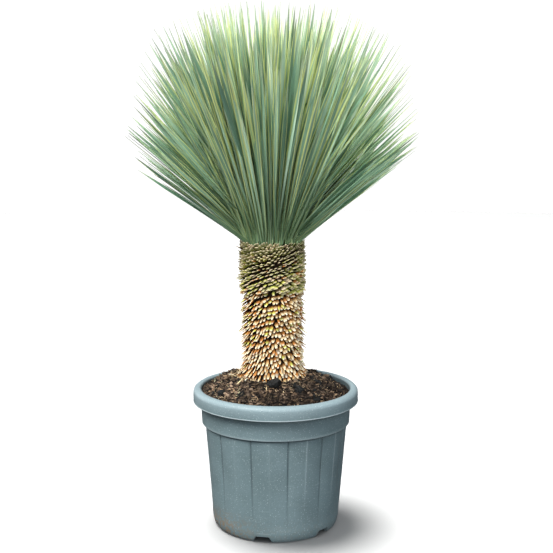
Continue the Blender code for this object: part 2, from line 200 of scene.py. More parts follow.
def piece_mesh(name: str, points: Array, looped: bool = False) -> bpy.types.Mesh:
    """Make one mesh of closed bodies from grids of places.

    A body's columns close on themselves. Its first and last rings are closed with quads laid across
    them, unless its rows close on themselves too. All faces are turned outwards if the volume that
    they enclose comes out negative. The map called strip holds the share round and along a body, and
    the map for baking gives each body a cell of its own.

    Args:
        name: the mesh's name.
        points: (bodies, rows, columns, 3) places, with an even number of columns.
        looped: whether the last row joins the first.

    Returns:
        The mesh.
    """
    bodies, rows, columns = points.shape[:3]
    index = np.arange(bodies * rows * columns).reshape(bodies, rows, columns)
    above = index if looped else index[:, :-1]
    below = np.roll(index, -1, axis=1) if looped else index[:, 1:]
    quads = np.stack((above, np.roll(above, -1, axis=2), np.roll(below, -1, axis=2), below), axis=-1)
    row, column = np.meshgrid(np.arange(above.shape[1]), np.arange(columns), indexing="ij")
    corner_row = np.stack((row, row, row + 1, row + 1), axis=-1)
    corner_column = np.stack((column, column + 1, column + 1, column), axis=-1)
    faces = [quads.reshape(bodies, -1, 4)]
    places = [(corner_row.reshape(-1, 4), corner_column.reshape(-1, 4))]
    if not looped:
        first = np.arange(columns // 2 - 1)
        lid = np.stack((first, columns - 1 - first, columns - 2 - first, first + 1), axis=-1)
        for ring, order in ((0, slice(None)), (rows - 1, slice(None, None, -1))):
            faces.append(index[:, ring][:, lid[:, order]])
            places.append((np.full_like(lid, ring), lid[:, order]))
    corners = np.concatenate(faces, axis=1).reshape(-1, 4)
    corner_row = np.concatenate([rows_of for rows_of, _ in places])
    corner_column = np.concatenate([columns_of for _, columns_of in places])
    along = np.linspace(0.0, 1.0, rows + looped)
    strip = np.stack((corner_column / columns, along[corner_row]), axis=-1)
    strips = np.broadcast_to(strip, (bodies, *strip.shape))
    flat = points.reshape(-1, 3)
    if signed_volume(flat, corners) < 0.0:
        corners = corners[:, ::-1]
        strips = strips[:, :, ::-1]
    mesh = bpy.data.meshes.new(name)
    mesh.vertices.add(len(flat))
    mesh.vertices.foreach_set("co", flat.astype(np.float32).ravel())
    mesh.loops.add(corners.size)
    mesh.loops.foreach_set("vertex_index", corners.astype(np.int32).ravel())
    mesh.polygons.add(len(corners))
    mesh.polygons.foreach_set("loop_start", np.arange(0, corners.size, 4, dtype=np.int32))
    mesh.update(calc_edges=True)
    mesh.validate()
    mesh.uv_layers.new(name="strip").data.foreach_set("uv", strips.astype(np.float32).ravel())
    if bodies > 1:
        cells = atlas(strips)
        mesh.uv_layers.new(name="OFBake").data.foreach_set("uv", cells.astype(np.float32).ravel())
    return mesh


def signed_volume(places: Array, corners: NDArray[np.int64]) -> float:
    """Return the volume that quads enclose, negative where they face inwards."""
    a, b, c, d = (places[corners[:, number]] for number in range(4))
    return float(np.einsum("ij,ij->", a, np.cross(b, c) + np.cross(c, d)) / 6.0)


def atlas(strips: Array, tallness: int = 8, border: float = 0.06) -> Array:
    """Put each body's strip into a cell of a square map, in rows of upright cells.

    Args:
        strips: (bodies, faces, corners, 2) shares round and along each body.
        tallness: how many cells fit across for each one that fits up.
        border: share of a cell left clear at each side.

    Returns:
        Places on the map, in the same layout.
    """
    bodies = len(strips)
    rows = max(1, math.floor(math.sqrt(bodies / tallness)))
    columns = math.ceil(bodies / rows)
    number = np.arange(bodies)
    corner = np.stack((number % columns, number // columns), axis=-1)[:, None, None]
    return (corner + border + strips * (1.0 - 2.0 * border)) / np.array([columns, rows])


def spread_trait(mesh: bpy.types.Mesh, name: str, values: Array) -> None:
    """Give each body's points that body's own colour or set of three traits.

    Args:
        mesh: a mesh made of alike bodies, one after another.
        name: the attribute's name.
        values: (bodies, 3) linear colours or traits.
    """
    each = len(mesh.vertices) // len(values)
    whole = np.concatenate((values, np.ones((len(values), 1))), axis=1)
    layer = mesh.attributes.new(name, "FLOAT_COLOR", "POINT")
    layer.data.foreach_set("color", np.repeat(whole, each, axis=0).astype(np.float32).ravel())


def show_piece(
    mesh: bpy.types.Mesh,
    material: bpy.types.Material,
    stands_for: tuple[str, ...] = (),
    sharp_above: float = 40.0,
) -> bpy.types.Object:
    """Put a finished mesh into the scene as a piece that rides on the part's one body.

    Args:
        mesh: the piece's mesh, in place.
        material: its finish.
        stands_for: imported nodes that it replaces.
        sharp_above: angle between faces, in degrees, past which an edge stays sharp.

    Returns:
        The piece.
    """
    mesh.materials.append(material)
    mesh.shade_smooth()
    mesh.set_sharp_from_angle(angle=math.radians(sharp_above))
    piece = bpy.data.objects.new(mesh.name, mesh)
    bpy.context.scene.collection.objects.link(piece)
    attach(piece, "root")
    if stands_for:
        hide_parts(*stands_for)
    LOG.info("%s: %d faces", piece.name, len(mesh.polygons))
    return piece


def add_node(
    tree: bpy.types.NodeTree, kind: str, settings: dict[str, Any], inputs: dict[str | int, Any]
) -> bpy.types.Node:
    """Add a shader node.

    Args:
        tree: where it goes.
        kind: its type without the leading ShaderNode.
        settings: its properties; stops is a colour ramp's list of places and hex colours.
        inputs: values, or other nodes' outputs to link, by the socket's name or number.

    Returns:
        The node.
    """
    made = tree.nodes.new("ShaderNode" + kind)
    for name, value in settings.items():
        if name != "stops":
            setattr(made, name, value)
            continue
        while len(made.color_ramp.elements) < len(value):
            made.color_ramp.elements.new(0.5)
        for element, (place, colour) in zip(made.color_ramp.elements, value):
            element.position = place
            element.color = linear(colour)
    for name, value in inputs.items():
        if isinstance(value, bpy.types.NodeSocket):
            tree.links.new(value, made.inputs[name])
        else:
            made.inputs[name].default_value = value
    return made


@dataclass(frozen=True)
class Finish:
    """What every finish shares: its name, how rough and glossy it is, and how deep its relief is."""

    name: str
    roughness: float
    specular: float
    refraction: float
    relief_strength: float
    relief_depth: float

    def begin(self) -> tuple[bpy.types.Material, bpy.types.NodeTree]:
        """Make the material.

        Returns:
            The material and its nodes.
        """
        material = bpy.data.materials.new(self.name)
        material.use_nodes = True
        shader = material.node_tree.nodes["Principled BSDF"]
        shader.inputs["Roughness"].default_value = self.roughness
        shader.inputs["Specular IOR Level"].default_value = self.specular
        shader.inputs["IOR"].default_value = self.refraction
        return material, material.node_tree

    def complete(
        self, material: bpy.types.Material, colour: bpy.types.NodeSocket, relief: bpy.types.NodeSocket
    ) -> bpy.types.Material:
        """Join the finish's colour and relief to the material's shader.

        Args:
            material: the material that was begun.
            colour: its colour.
            relief: its height, from 0 to 1 of the relief's depth.

        Returns:
            The material.
        """
        tree = material.node_tree
        shader = tree.nodes["Principled BSDF"]
        bump = add_node(tree, "Bump", {}, {
            "Strength": self.relief_strength, "Distance": self.relief_depth, "Height": relief})
        tree.links.new(colour, shader.inputs["Base Color"])
        tree.links.new(bump.outputs[0], shader.inputs["Normal"])
        return material


@dataclass(frozen=True)
class PotPlastic(Finish):
    """Recycled polypropylene, injection moulded.

    A satin blue-grey with light and dark flecks of the regrind in it, faint scuffs round the body and
    brown splashes of soil round the foot. Painted light and shade lie over these: a rim painted paler
    towards its crown as if lit from above, painted shade in the creases, under the shoulder and the
    skirt and inside the mouth, and painted highlights on the lip, the shoulder's corner and the ridges.
    """

    name: str = "recycled_polypropylene_moulded"
    roughness: float = 0.46
    specular: float = 0.45
    refraction: float = 1.49
    relief_strength: float = 0.35
    relief_depth: float = 0.15 * MILLIMETRE
    base: str = "#6e8389"
    shade: str = "#65797e"
    light_fleck: str = "#c2d0d3"
    dark_fleck: str = "#46565c"
    # painted light: the rim grows paler towards its crown, as if lit from above
    lit_rim: str = "#a4bac3"
    scuff: str = "#9fb0b5"
    dirt: str = "#86694a"
    # painted shade: dark in the creases, under the shoulder and the skirt, and inside the mouth
    painted_shade: str = "#323f44"
    # painted highlights on the lip, the shoulder's corner and the ridges, and wear on the foot's edge
    highlight_and_worn_edge: str = "#c3d3d9"
    cloud_size: float = 60.0 * MILLIMETRE
    speck_spacing: float = 3.4 * MILLIMETRE
    fleck_size: float = 1.8 * MILLIMETRE
    splash_size: float = 6.0 * MILLIMETRE
    grain_size: float = 1.1 * MILLIMETRE
    scuff_scale: tuple[float, float, float] = (14.0, 14.0, 230.0)
    scuff_turn: tuple[float, float, float] = (0.3, 0.9, 0.2)
    rim_foot: float = 0.2745
    rim_crown: float = 0.3035

    def material(self) -> bpy.types.Material:
        """Make the plastic: a cloudy ground, and each kind of mark laid over the ones before it.

        The specks are drawn several times coarser than real regrind, and so is the grain, to show.

        Returns:
            The material.
        """
        material, tree = self.begin()
        place = add_node(tree, "TexCoord", {}, {}).outputs["Object"]
        split = add_node(tree, "SeparateXYZ", {}, {"Vector": place})
        cloud = add_node(tree, "TexNoise", {}, {
            "Vector": place, "Scale": 1 / self.cloud_size, "Detail": 4.0})
        ground = add_node(tree, "ValToRGB", {"stops": [(0.35, self.shade), (0.65, self.base)]}, {
            "Fac": cloud.outputs["Fac"]})
        # Painted light: paler towards the rim's crown, where light from above falls
        rim = add_node(tree, "MapRange", {"interpolation_type": "SMOOTHSTEP"}, {
            "Value": split.outputs["Z"], "From Min": self.rim_foot, "From Max": self.rim_crown,
            "To Min": 0.0, "To Max": 0.50})
        specks = add_node(tree, "TexVoronoi", {}, {"Vector": place, "Scale": 1 / self.speck_spacing})
        round_speck = add_node(tree, "MapRange", {}, {
            "Value": specks.outputs["Distance"], "From Min": 0.27, "From Max": 0.10, "To Max": 0.85})
        chosen = add_node(tree, "SeparateColor", {}, {"Color": specks.outputs["Color"]}).outputs["Red"]
        light = add_node(tree, "Math", {"operation": "MULTIPLY"}, {0: round_speck.outputs[0], 1: chosen})
        flecks = add_node(tree, "TexNoise", {}, {
            "Vector": place, "Scale": 1 / self.fleck_size, "Detail": 1.5, "Roughness": 0.6})
        dark = add_node(tree, "MapRange", {}, {
            "Value": flecks.outputs["Fac"], "From Min": 0.40, "From Max": 0.28, "To Max": 0.45})
        turned = add_node(tree, "Mapping", {}, {
            "Vector": place, "Rotation": self.scuff_turn, "Scale": self.scuff_scale})
        lines = add_node(tree, "TexNoise", {}, {"Vector": turned.outputs[0], "Scale": 1.0, "Detail": 1.0})
        scuffs = add_node(tree, "MapRange", {}, {
            "Value": lines.outputs["Fac"], "From Min": 0.73, "From Max": 0.78, "To Max": 0.30})
        marks = add_node(tree, "Attribute", {"attribute_name": "marks"}, {})
        mark = add_node(tree, "SeparateColor", {}, {"Color": marks.outputs["Color"]})
        splash = add_node(tree, "TexNoise", {}, {
            "Vector": place, "Scale": 1 / self.splash_size, "Detail": 6.0})
        spots = add_node(tree, "MapRange", {}, {
            "Value": splash.outputs["Fac"], "From Min": 0.46, "From Max": 0.55, "To Max": 0.95})
        soiled = add_node(tree, "Math", {"operation": "MULTIPLY"}, {
            0: mark.outputs["Green"], 1: spots.outputs[0]})
        grain = add_node(tree, "TexNoise", {}, {
            "Vector": place, "Scale": 1 / self.grain_size, "Detail": 2.0})
        colour = ground.outputs[0]
        # The rim's paler crown, the marks' red and most of their blue are painted light and shade; the
        # flecks, scuffs, dirt and the foot's wear are the plastic's own.
        for factor, over in (
            (rim.outputs[0], self.lit_rim),
            (light.outputs[0], self.light_fleck),
            (dark.outputs[0], self.dark_fleck),
            (scuffs.outputs[0], self.scuff),
            (mark.outputs["Red"], self.painted_shade),
            (soiled.outputs[0], self.dirt),
            (mark.outputs["Blue"], self.highlight_and_worn_edge),
        ):
            mixed = add_node(tree, "Mix", {"data_type": "RGBA"}, {
                FACTOR: factor, FIRST: colour, SECOND: linear(over)})
            colour = mixed.outputs[MIXED]
        return self.complete(material, colour, grain.outputs["Fac"])


@dataclass(frozen=True)
class Compost(Finish):
    """Potting compost: peat and bark fines, nearly black where it is damp and brown where it is dry."""

    name: str = "peat_potting_compost"
    roughness: float = 0.93
    specular: float = 0.25
    refraction: float = 1.4
    relief_strength: float = 0.8
    relief_depth: float = 1.2 * MILLIMETRE
    damp: str = "#0a0807"
    crumb: str = "#2e2620"
    dry: str = "#6e5f52"
    crumb_size: float = 6.2 * MILLIMETRE
    dust_size: float = 1.6 * MILLIMETRE
    lighter_side: float = -0.130
    drier: float = 0.12

    def material(self) -> bpy.types.Material:
        """Make the compost: noise as coarse as its crumbs, lighter towards the pot's left side.

        Returns:
            The material.
        """
        material, tree = self.begin()
        place = add_node(tree, "TexCoord", {}, {}).outputs["Object"]
        crumbs = add_node(tree, "TexNoise", {}, {
            "Vector": place, "Scale": 1 / self.crumb_size, "Detail": 5.0, "Roughness": 0.62})
        across = add_node(tree, "SeparateXYZ", {}, {"Vector": place}).outputs["X"]
        # lighter towards the pot's left side: the ramp moves towards its paler stops
        drier = add_node(tree, "MapRange", {"interpolation_type": "SMOOTHSTEP"}, {
            "Value": across, "From Min": 0.0, "From Max": self.lighter_side, "To Max": self.drier})
        dryness = add_node(tree, "Math", {"operation": "ADD"}, {
            0: crumbs.outputs["Fac"], 1: drier.outputs[0]})
        ramp = add_node(tree, "ValToRGB", {
            "stops": [(0.36, self.damp), (0.54, self.crumb), (0.74, self.dry)]}, {
            "Fac": dryness.outputs[0]})
        dust = add_node(tree, "TexNoise", {}, {
            "Vector": place, "Scale": 1 / self.dust_size, "Detail": 3.0})
        return self.complete(material, ramp.outputs[0], dust.outputs["Fac"])


@dataclass(frozen=True)
class DryFibre(Finish):
    """Dry plant matter such as coir, bark and old leaf: matt, with fine fibres along each bit.

    Each bit takes its own colour, from pale straw to brown.
    """

    name: str = "dry_coir_and_bark"
    roughness: float = 0.85
    specular: float = 0.25
    refraction: float = 1.45
    relief_strength: float = 0.4
    relief_depth: float = 0.3 * MILLIMETRE
    fibres_round: float = 9.0
    fibres_along: float = 5.4
    darkest: float = 0.55

    def material(self) -> bpy.types.Material:
        """Make the dry matter: each bit's own colour, shaded by noise drawn out along the bit.

        Returns:
            The material.
        """
        material, tree = self.begin()
        own = add_node(tree, "Attribute", {"attribute_name": "bit_colour"}, {})
        strip = add_node(tree, "UVMap", {"uv_map": "strip"}, {})
        place = add_node(tree, "TexCoord", {}, {}).outputs["Object"]
        drawn_out = add_node(tree, "VectorMath", {"operation": "MULTIPLY"}, {
            0: strip.outputs[0], 1: (self.fibres_round, self.fibres_along, 0.0)})
        moved = add_node(tree, "VectorMath", {"operation": "MULTIPLY_ADD"}, {
            0: place, 1: (60.0, 60.0, 60.0), 2: drawn_out.outputs[0]})
        grain = add_node(tree, "TexNoise", {}, {"Vector": moved.outputs[0], "Scale": 1.0, "Detail": 3.0})
        shade = add_node(tree, "MapRange", {}, {
            "Value": grain.outputs["Fac"], "From Min": 0.3, "From Max": 0.65,
            "To Min": self.darkest, "To Max": 1.1})
        colour = add_node(tree, "VectorMath", {"operation": "SCALE"}, {
            0: own.outputs["Color"], "Scale": shade.outputs[0]})
        return self.complete(material, colour.outputs[0], grain.outputs["Fac"])


@dataclass(frozen=True)
class Charcoal(Finish):
    """Damp charred clods in the compost: near black with a faint cold sheen on their faces."""

    name: str = "damp_charred_clod"
    roughness: float = 0.62
    specular: float = 0.25
    refraction: float = 1.5
    relief_strength: float = 0.9
    relief_depth: float = 1.0 * MILLIMETRE
    # painted shade in the pits of the relief
    hollow: str = "#040404"
    face: str = "#131516"
    dust: str = "#2c3131"
    pit_size: float = 4.2 * MILLIMETRE

    def material(self) -> bpy.types.Material:
        """Make the charred matter: noise as coarse as its pits, with painted shade in them and dust
        between.

        Returns:
            The material.
        """
        material, tree = self.begin()
        place = add_node(tree, "TexCoord", {}, {}).outputs["Object"]
        pits = add_node(tree, "TexNoise", {}, {
            "Vector": place, "Scale": 1 / self.pit_size, "Detail": 6.0, "Roughness": 0.6})
        # The ramp follows the relief's noise: near black in its pits is painted shade, the grey on its
        # raised faces is dust
        ramp = add_node(tree, "ValToRGB", {
            "stops": [(0.36, self.hollow), (0.55, self.face), (0.78, self.dust)]}, {
            "Fac": pits.outputs["Fac"]})
        return self.complete(material, ramp.outputs[0], pits.outputs["Fac"])


@dataclass(frozen=True)
class DryLeafBase(Finish):
    """Leaf bases left on the trunk after the leaves were cut: dry, fibrous and straw coloured.

    Each is rusty where it leaves the trunk and darkened there by painted shade, pale along its back,
    and takes its own tint.
    """

    name: str = "dry_yucca_leaf_base"
    roughness: float = 0.72
    specular: float = 0.3
    refraction: float = 1.45
    relief_strength: float = 0.5
    relief_depth: float = 0.4 * MILLIMETRE
    # painted shade at each base's root, where the one above covers it
    root_shade: str = "#1c1109"
    rust: str = "#b27636"
    cut_end: str = "#fbf4de"
    rust_until: float = 0.62
    tip_from: float = 0.74
    fibres_round: float = 16.0
    patch_size: float = 4.0 * MILLIMETRE

    def material(self) -> bpy.types.Material:
        """Make the leaf base: painted shade, rust, its own tint and a pale end, one after another along it.

        Returns:
            The material.
        """
        material, tree = self.begin()
        own = add_node(tree, "Attribute", {"attribute_name": "bit_colour"}, {})
        strip = add_node(tree, "UVMap", {"uv_map": "strip"}, {})
        place = add_node(tree, "TexCoord", {}, {}).outputs["Object"]
        along = add_node(tree, "SeparateXYZ", {}, {"Vector": strip.outputs[0]}).outputs["Y"]
        drawn_out = add_node(tree, "VectorMath", {"operation": "MULTIPLY"}, {
            0: strip.outputs[0], 1: (self.fibres_round, 2.0, 0.0)})
        moved = add_node(tree, "VectorMath", {"operation": "MULTIPLY_ADD"}, {
            0: place, 1: (45.0, 45.0, 45.0), 2: drawn_out.outputs[0]})
        grain = add_node(tree, "TexNoise", {}, {"Vector": moved.outputs[0], "Scale": 1.0, "Detail": 4.0})
        patch = add_node(tree, "TexNoise", {}, {
            "Vector": place, "Scale": 1 / self.patch_size, "Detail": 2.0})
        uneven = add_node(tree, "Math", {"operation": "MULTIPLY_ADD"}, {
            0: patch.outputs["Fac"], 1: 0.34, 2: along})
        rusty = add_node(tree, "MapRange", {"interpolation_type": "SMOOTHSTEP"}, {
            "Value": uneven.outputs[0], "From Min": self.rust_until, "From Max": self.rust_until + 0.30})
        colour = add_node(tree, "Mix", {"data_type": "RGBA"}, {
            FACTOR: rusty.outputs[0], FIRST: linear(self.rust), SECOND: own.outputs["Color"]})
        # Painted shade: dark at the root of each base, fading out along it
        deep = add_node(tree, "MapRange", {"interpolation_type": "SMOOTHSTEP"}, {
            "Value": along, "From Min": 0.18, "From Max": 0.56})
        colour = add_node(tree, "Mix", {"data_type": "RGBA"}, {
            FACTOR: deep.outputs[0], FIRST: linear(self.root_shade), SECOND: colour.outputs[MIXED]})
        end = add_node(tree, "MapRange", {"interpolation_type": "SMOOTHSTEP"}, {
            "Value": along, "From Min": self.tip_from, "From Max": 1.0, "To Max": 0.82})
        colour = add_node(tree, "Mix", {"data_type": "RGBA"}, {
            FACTOR: end.outputs[0], FIRST: colour.outputs[MIXED], SECOND: linear(self.cut_end)})
        shade = add_node(tree, "MapRange", {}, {
            "Value": grain.outputs["Fac"], "From Min": 0.3, "From Max": 0.65,
            "To Min": 0.62, "To Max": 1.08})
        colour = add_node(tree, "VectorMath", {"operation": "SCALE"}, {
            0: colour.outputs[MIXED], "Scale": shade.outputs[0]})
        return self.complete(material, colour.outputs[0], grain.outputs["Fac"])


@dataclass(frozen=True)
class WaxyLeaf(Finish):
    """Living yucca leaf: stiff, with a grey-blue bloom of wax over green and thin yellow-green margins.

    Fine veins run its whole length. The three traits of each leaf are how pale its bloom is, how dry
    the leaf is, and how broad its bright margins are.
    """

    name: str = "waxy_yucca_leaf"
    roughness: float = 0.48
    specular: float = 0.42
    refraction: float = 1.45
    relief_strength: float = 0.3
    relief_depth: float = 0.2 * MILLIMETRE
    deep: str = "#527966"
    bloom: str = "#90b99e"
    silver: str = "#cfe6d2"
    margin: str = "#d6e292"
    # painted shade: the olive towards each leaf's root, where the blades crowd
    base: str = "#607e59"
    dry: str = "#c08a4c"
    tip: str = "#d5dfb8"
    veins_across: float = 11.0

    def material(self) -> bpy.types.Material:
        """Make the leaf: a bloom over green, and each other colour laid over the ones before it.

        Returns:
            The material.
        """
        material, tree = self.begin()
        traits = add_node(tree, "Attribute", {"attribute_name": "leaf_traits"}, {})
        trait = add_node(tree, "SeparateColor", {}, {"Color": traits.outputs["Color"]})
        strip = add_node(tree, "UVMap", {"uv_map": "strip"}, {})
        split = add_node(tree, "SeparateXYZ", {}, {"Vector": strip.outputs[0]})
        along = split.outputs["Y"]
        seed = add_node(tree, "VectorMath", {"operation": "SCALE"}, {
            0: traits.outputs["Color"], "Scale": 61.0})
        stretched = add_node(tree, "VectorMath", {"operation": "MULTIPLY_ADD"}, {
            0: strip.outputs[0], 1: (self.veins_across, 3.0, 0.0), 2: seed.outputs[0]})
        veins = add_node(tree, "TexNoise", {}, {
            "Vector": stretched.outputs[0], "Scale": 1.0, "Detail": 3.0})
        tone = add_node(tree, "Math", {"operation": "MULTIPLY_ADD"}, {
            0: veins.outputs["Fac"], 1: 0.55, 2: trait.outputs["Red"]})
        face = add_node(tree, "ValToRGB", {
            "stops": [(0.30, self.deep), (0.72, self.bloom), (1.0, self.silver)]}, {"Fac": tone.outputs[0]})
        doubled = add_node(tree, "Math", {"operation": "MULTIPLY"}, {0: split.outputs["X"], 1: 2.0})
        across = add_node(tree, "Math", {"operation": "FRACT"}, {0: doubled.outputs[0]})
        centred = add_node(tree, "Math", {"operation": "SUBTRACT"}, {0: across.outputs[0], 1: 0.5})
        outward = add_node(tree, "Math", {"operation": "ABSOLUTE"}, {0: centred.outputs[0]})
        broad = add_node(tree, "MapRange", {}, {
            "Value": trait.outputs["Blue"], "To Min": 0.47, "To Max": 0.08})
        beyond = add_node(tree, "Math", {"operation": "SUBTRACT"}, {
            0: outward.outputs[0], 1: broad.outputs[0]})
        edge = add_node(tree, "MapRange", {"interpolation_type": "SMOOTHSTEP"}, {
            "Value": beyond.outputs[0], "From Min": -0.02, "From Max": 0.07, "To Max": 0.85})
        # Painted shade: each blade darkens to olive towards its root, where the blades crowd
        low = add_node(tree, "MapRange", {"interpolation_type": "SMOOTHSTEP"}, {
            "Value": along, "From Min": 0.48, "From Max": 0.06, "To Max": 0.78})
        faded = add_node(tree, "MapRange", {"interpolation_type": "SMOOTHSTEP"}, {
            "Value": along, "From Min": 0.80, "From Max": 1.0, "To Max": 0.4})
        colour = face.outputs[0]
        for factor, over in (
            (edge.outputs[0], self.margin),
            (low.outputs[0], self.base),
            (trait.outputs["Green"], self.dry),
            (faded.outputs[0], self.tip),
        ):
            mixed = add_node(tree, "Mix", {"data_type": "RGBA"}, {
                FACTOR: factor, FIRST: colour, SECOND: linear(over)})
            colour = mixed.outputs[MIXED]
        return self.complete(material, colour, veins.outputs["Fac"])


@dataclass(frozen=True)
class TrunkAxis:
    """The trunk's axis, which leans a little to the left as it rises."""

    foot: float = 0.332
    top: float = 0.628
    foot_x: float = -0.0055
    top_x: float = -0.0080

    def place(self, z: Array) -> Array:
        """Return the axis's points at given heights."""
        x = self.foot_x + (self.top_x - self.foot_x) * share_of(z, self.foot, self.top)
        return np.stack((x, np.zeros_like(x), z), axis=-1)


@dataclass
class NurseryPot:
    """The nursery pot: rolled rim with a skirt, plain shoulder, reeded body and a notched foot."""

    columns: int = 360
    height: float = 0.306
    wall: float = 0.003
    rim_radius: float = 0.180
    rim_round: float = 0.0105
    rim_inner_round: float = 0.006
    skirt_foot: float = 0.276
    lip: float = 0.0005
    lip_height: float = 0.002
    rim_underside: float = 0.300
    mouth_radius: float = 0.162
    shoulder_top_radius: float = 0.165
    shoulder_foot_radius: float = 0.1617
    shoulder_foot: float = 0.230
    body_top_radius: float = 0.156
    body_top: float = 0.2265
    body_foot_radius: float = 0.140
    body_foot: float = 0.032
    step_rise: float = 0.003
    foot_radius: float = 0.1305
    foot_width: float = 0.004
    floor_underside: float = 0.014
    floor_top: float = 0.017
    floor_edge: float = 0.1245
    floor_corner: tuple[float, float] = (0.1335, 0.022)
    reed_count: int = 12
    reed_depth: float = 0.0032
    first_crease: float = math.radians(10.0)
    reed_fade: float = 0.020
    reed_full: float = 0.150
    ridge_height: float = 0.0004
    groove_depth: float = 0.0009
    groove_width: float = 0.0026
    notch_count: int = 6
    first_notch: float = math.radians(-12.0)
    notch_height: float = 0.0135
    notch_foot_width: float = 0.039
    notch_top_width: float = 0.027
    drain_count: int = 6
    drain_radius: float = 0.008
    drain_circle: float = 0.085
    centre_drain_radius: float = 0.010
    step_round: float = 0.0012
    body_edge: tuple[float, float] = (0.0002, 0.004)
    # Painted shade and highlights: width of the painted lines, dark at the creases and light on the ridges,
    # and how dark each painted shade is
    painted_line_width: float = 0.0017
    crease_shade: float = 0.60
    step_shade: float = 0.90
    skirt_shade: float = 0.55
    mouth_shade: float = 0.75
    # Painted highlight on the lip, also standing for its worn edge, painted highlight on the shoulder's
    # corner, and wear on the foot's edge
    lip_highlight_and_wear: float = 0.60
    corner_highlight: float = 0.30
    foot_wear: float = 0.45

    def outside(self) -> Array:
        """Work out the section's outside, from the rim's crown down to the foot.

        The crown and its hollow are arcs round one centre. The foot's corner is a quarter of an
        ellipse: the radius follows the sine of its angle, the height one less its cosine.

        Returns:
            (points, 2) radii and heights.
        """
        crown = (self.rim_radius - self.rim_round, self.height - self.rim_round)
        shoulder = (self.shoulder_foot_radius, self.shoulder_foot)
        edge = (self.body_top_radius - self.body_edge[0], self.body_top - self.body_edge[1])
        lip_top = self.skirt_foot + 2 * self.lip_height
        corner = np.radians(np.linspace(90.0, 0.0, 22))
        foot_radii = self.foot_radius + (self.body_foot_radius - self.foot_radius) * np.sin(corner)
        foot = np.stack((foot_radii, self.body_foot * (1 - np.cos(corner))), axis=-1)
        return np.concatenate((
            arc(crown, self.rim_round, 90.0, 0.0, 15),
            run((self.rim_radius, crown[1] - 0.001), (self.rim_radius, lip_top), 4),
            [(self.rim_radius + 0.5 * self.lip, self.skirt_foot + 1.3 * self.lip_height)],
            [(self.rim_radius + self.lip, self.skirt_foot + self.lip_height)],
            [(self.rim_radius + self.lip, self.skirt_foot + 0.4 * self.lip_height)],
            [(self.rim_radius, self.skirt_foot + 0.1 * self.lip_height)],
            [(self.rim_radius - 2 * self.lip, self.skirt_foot)],
            run((self.rim_radius - self.wall, self.skirt_foot), (self.rim_radius - self.wall, crown[1]), 4),
            arc(crown, self.rim_round - self.wall, 0.0, 90.0, 11),
            run((self.shoulder_top_radius, self.rim_underside), shoulder, 12),
            arc((shoulder[0] - self.step_round, shoulder[1]), self.step_round, 0.0, -90.0, 9),
            [(self.body_top_radius + 0.001, self.body_top + 0.0005)],
            run((self.body_top_radius, self.body_top), edge, 2),
            run(edge, (self.body_foot_radius, self.body_foot), 20),
            foot,
        ))

    def inside(self) -> Array:
        """Work out the section's underside, floor and inner wall, from the foot up to the mouth.

        Returns:
            (points, 2) radii and heights.
        """
        mouth = (self.mouth_radius + self.rim_inner_round, self.height - self.rim_inner_round)
        ring = self.foot_radius - self.foot_width
        drain = self.centre_drain_radius
        shelf = (self.body_top_radius - self.wall, self.body_top + self.step_rise)
        ledge = (self.shoulder_foot_radius - self.wall, self.shoulder_foot + self.step_rise)
        return np.concatenate((
            run((ring, 0.0), (ring, self.floor_underside), 3),
            run((ring, self.floor_underside), (drain, self.floor_underside), 10),
            run((drain, self.floor_underside), (drain, self.floor_top), 2),
            run((drain, self.floor_top), (self.floor_edge, self.floor_top), 10),
            run((self.floor_edge, self.floor_top), self.floor_corner, 2),
            run(self.floor_corner, (self.body_foot_radius - self.wall, self.body_foot), 2),
            run((self.body_foot_radius - self.wall, self.body_foot), shelf, 16),
            run(shelf, ledge, 2),
            run(ledge, (self.mouth_radius, mouth[1]), 10),
            arc(mouth, self.rim_inner_round, 180.0, 97.0, 12),
        ))

    def off_crease(self, azimuth: Array, radius: Array) -> tuple[Array, Array]:
        """Return each place's share of the way round its reed, and its distance to the nearest crease."""
        turn = (azimuth - self.first_crease) * self.reed_count / math.tau % 1.0
        return turn, np.minimum(turn, 1.0 - turn) * math.tau / self.reed_count * radius

    def press_reeds(self, grid: Array) -> Array:
        """Draw the body's wall in between its round backs.

        The depth follows one less the sine of half a turn over each reed, which leaves a sharp crease
        where two reeds meet, with a fine groove along it. Both fade out towards the foot.

        Args:
            grid: (..., 3) places on the pot.

        Returns:
            The places, with those on the body moved in.
        """
        radius = np.hypot(grid[..., 0], grid[..., 1])
        height = grid[..., 2]
        turn, off = self.off_crease(np.arctan2(grid[..., 0], -grid[..., 1]), radius)
        ridge = np.abs(turn - 0.5) * math.tau / self.reed_count * radius
        depth = self.reed_depth * (1 - np.sin(math.pi * turn))
        depth = depth + self.ridge_height * share_of(ridge, 0.0, self.groove_width)
        depth = depth + self.groove_depth * (1 - share_of(off, 0.0, self.groove_width))
        depth = depth * share_of(height, self.reed_fade, self.reed_full)
        outside = (height > self.body_top + 1.5 * self.step_rise) | (radius > self.body_top_radius + 0.0003)
        depth = np.where(outside | (radius < self.floor_edge + 0.0001), 0.0, depth)
        shrink = (1.0 - depth / radius)[..., None]
        return grid * np.concatenate((shrink, shrink, np.ones_like(shrink)), axis=-1)

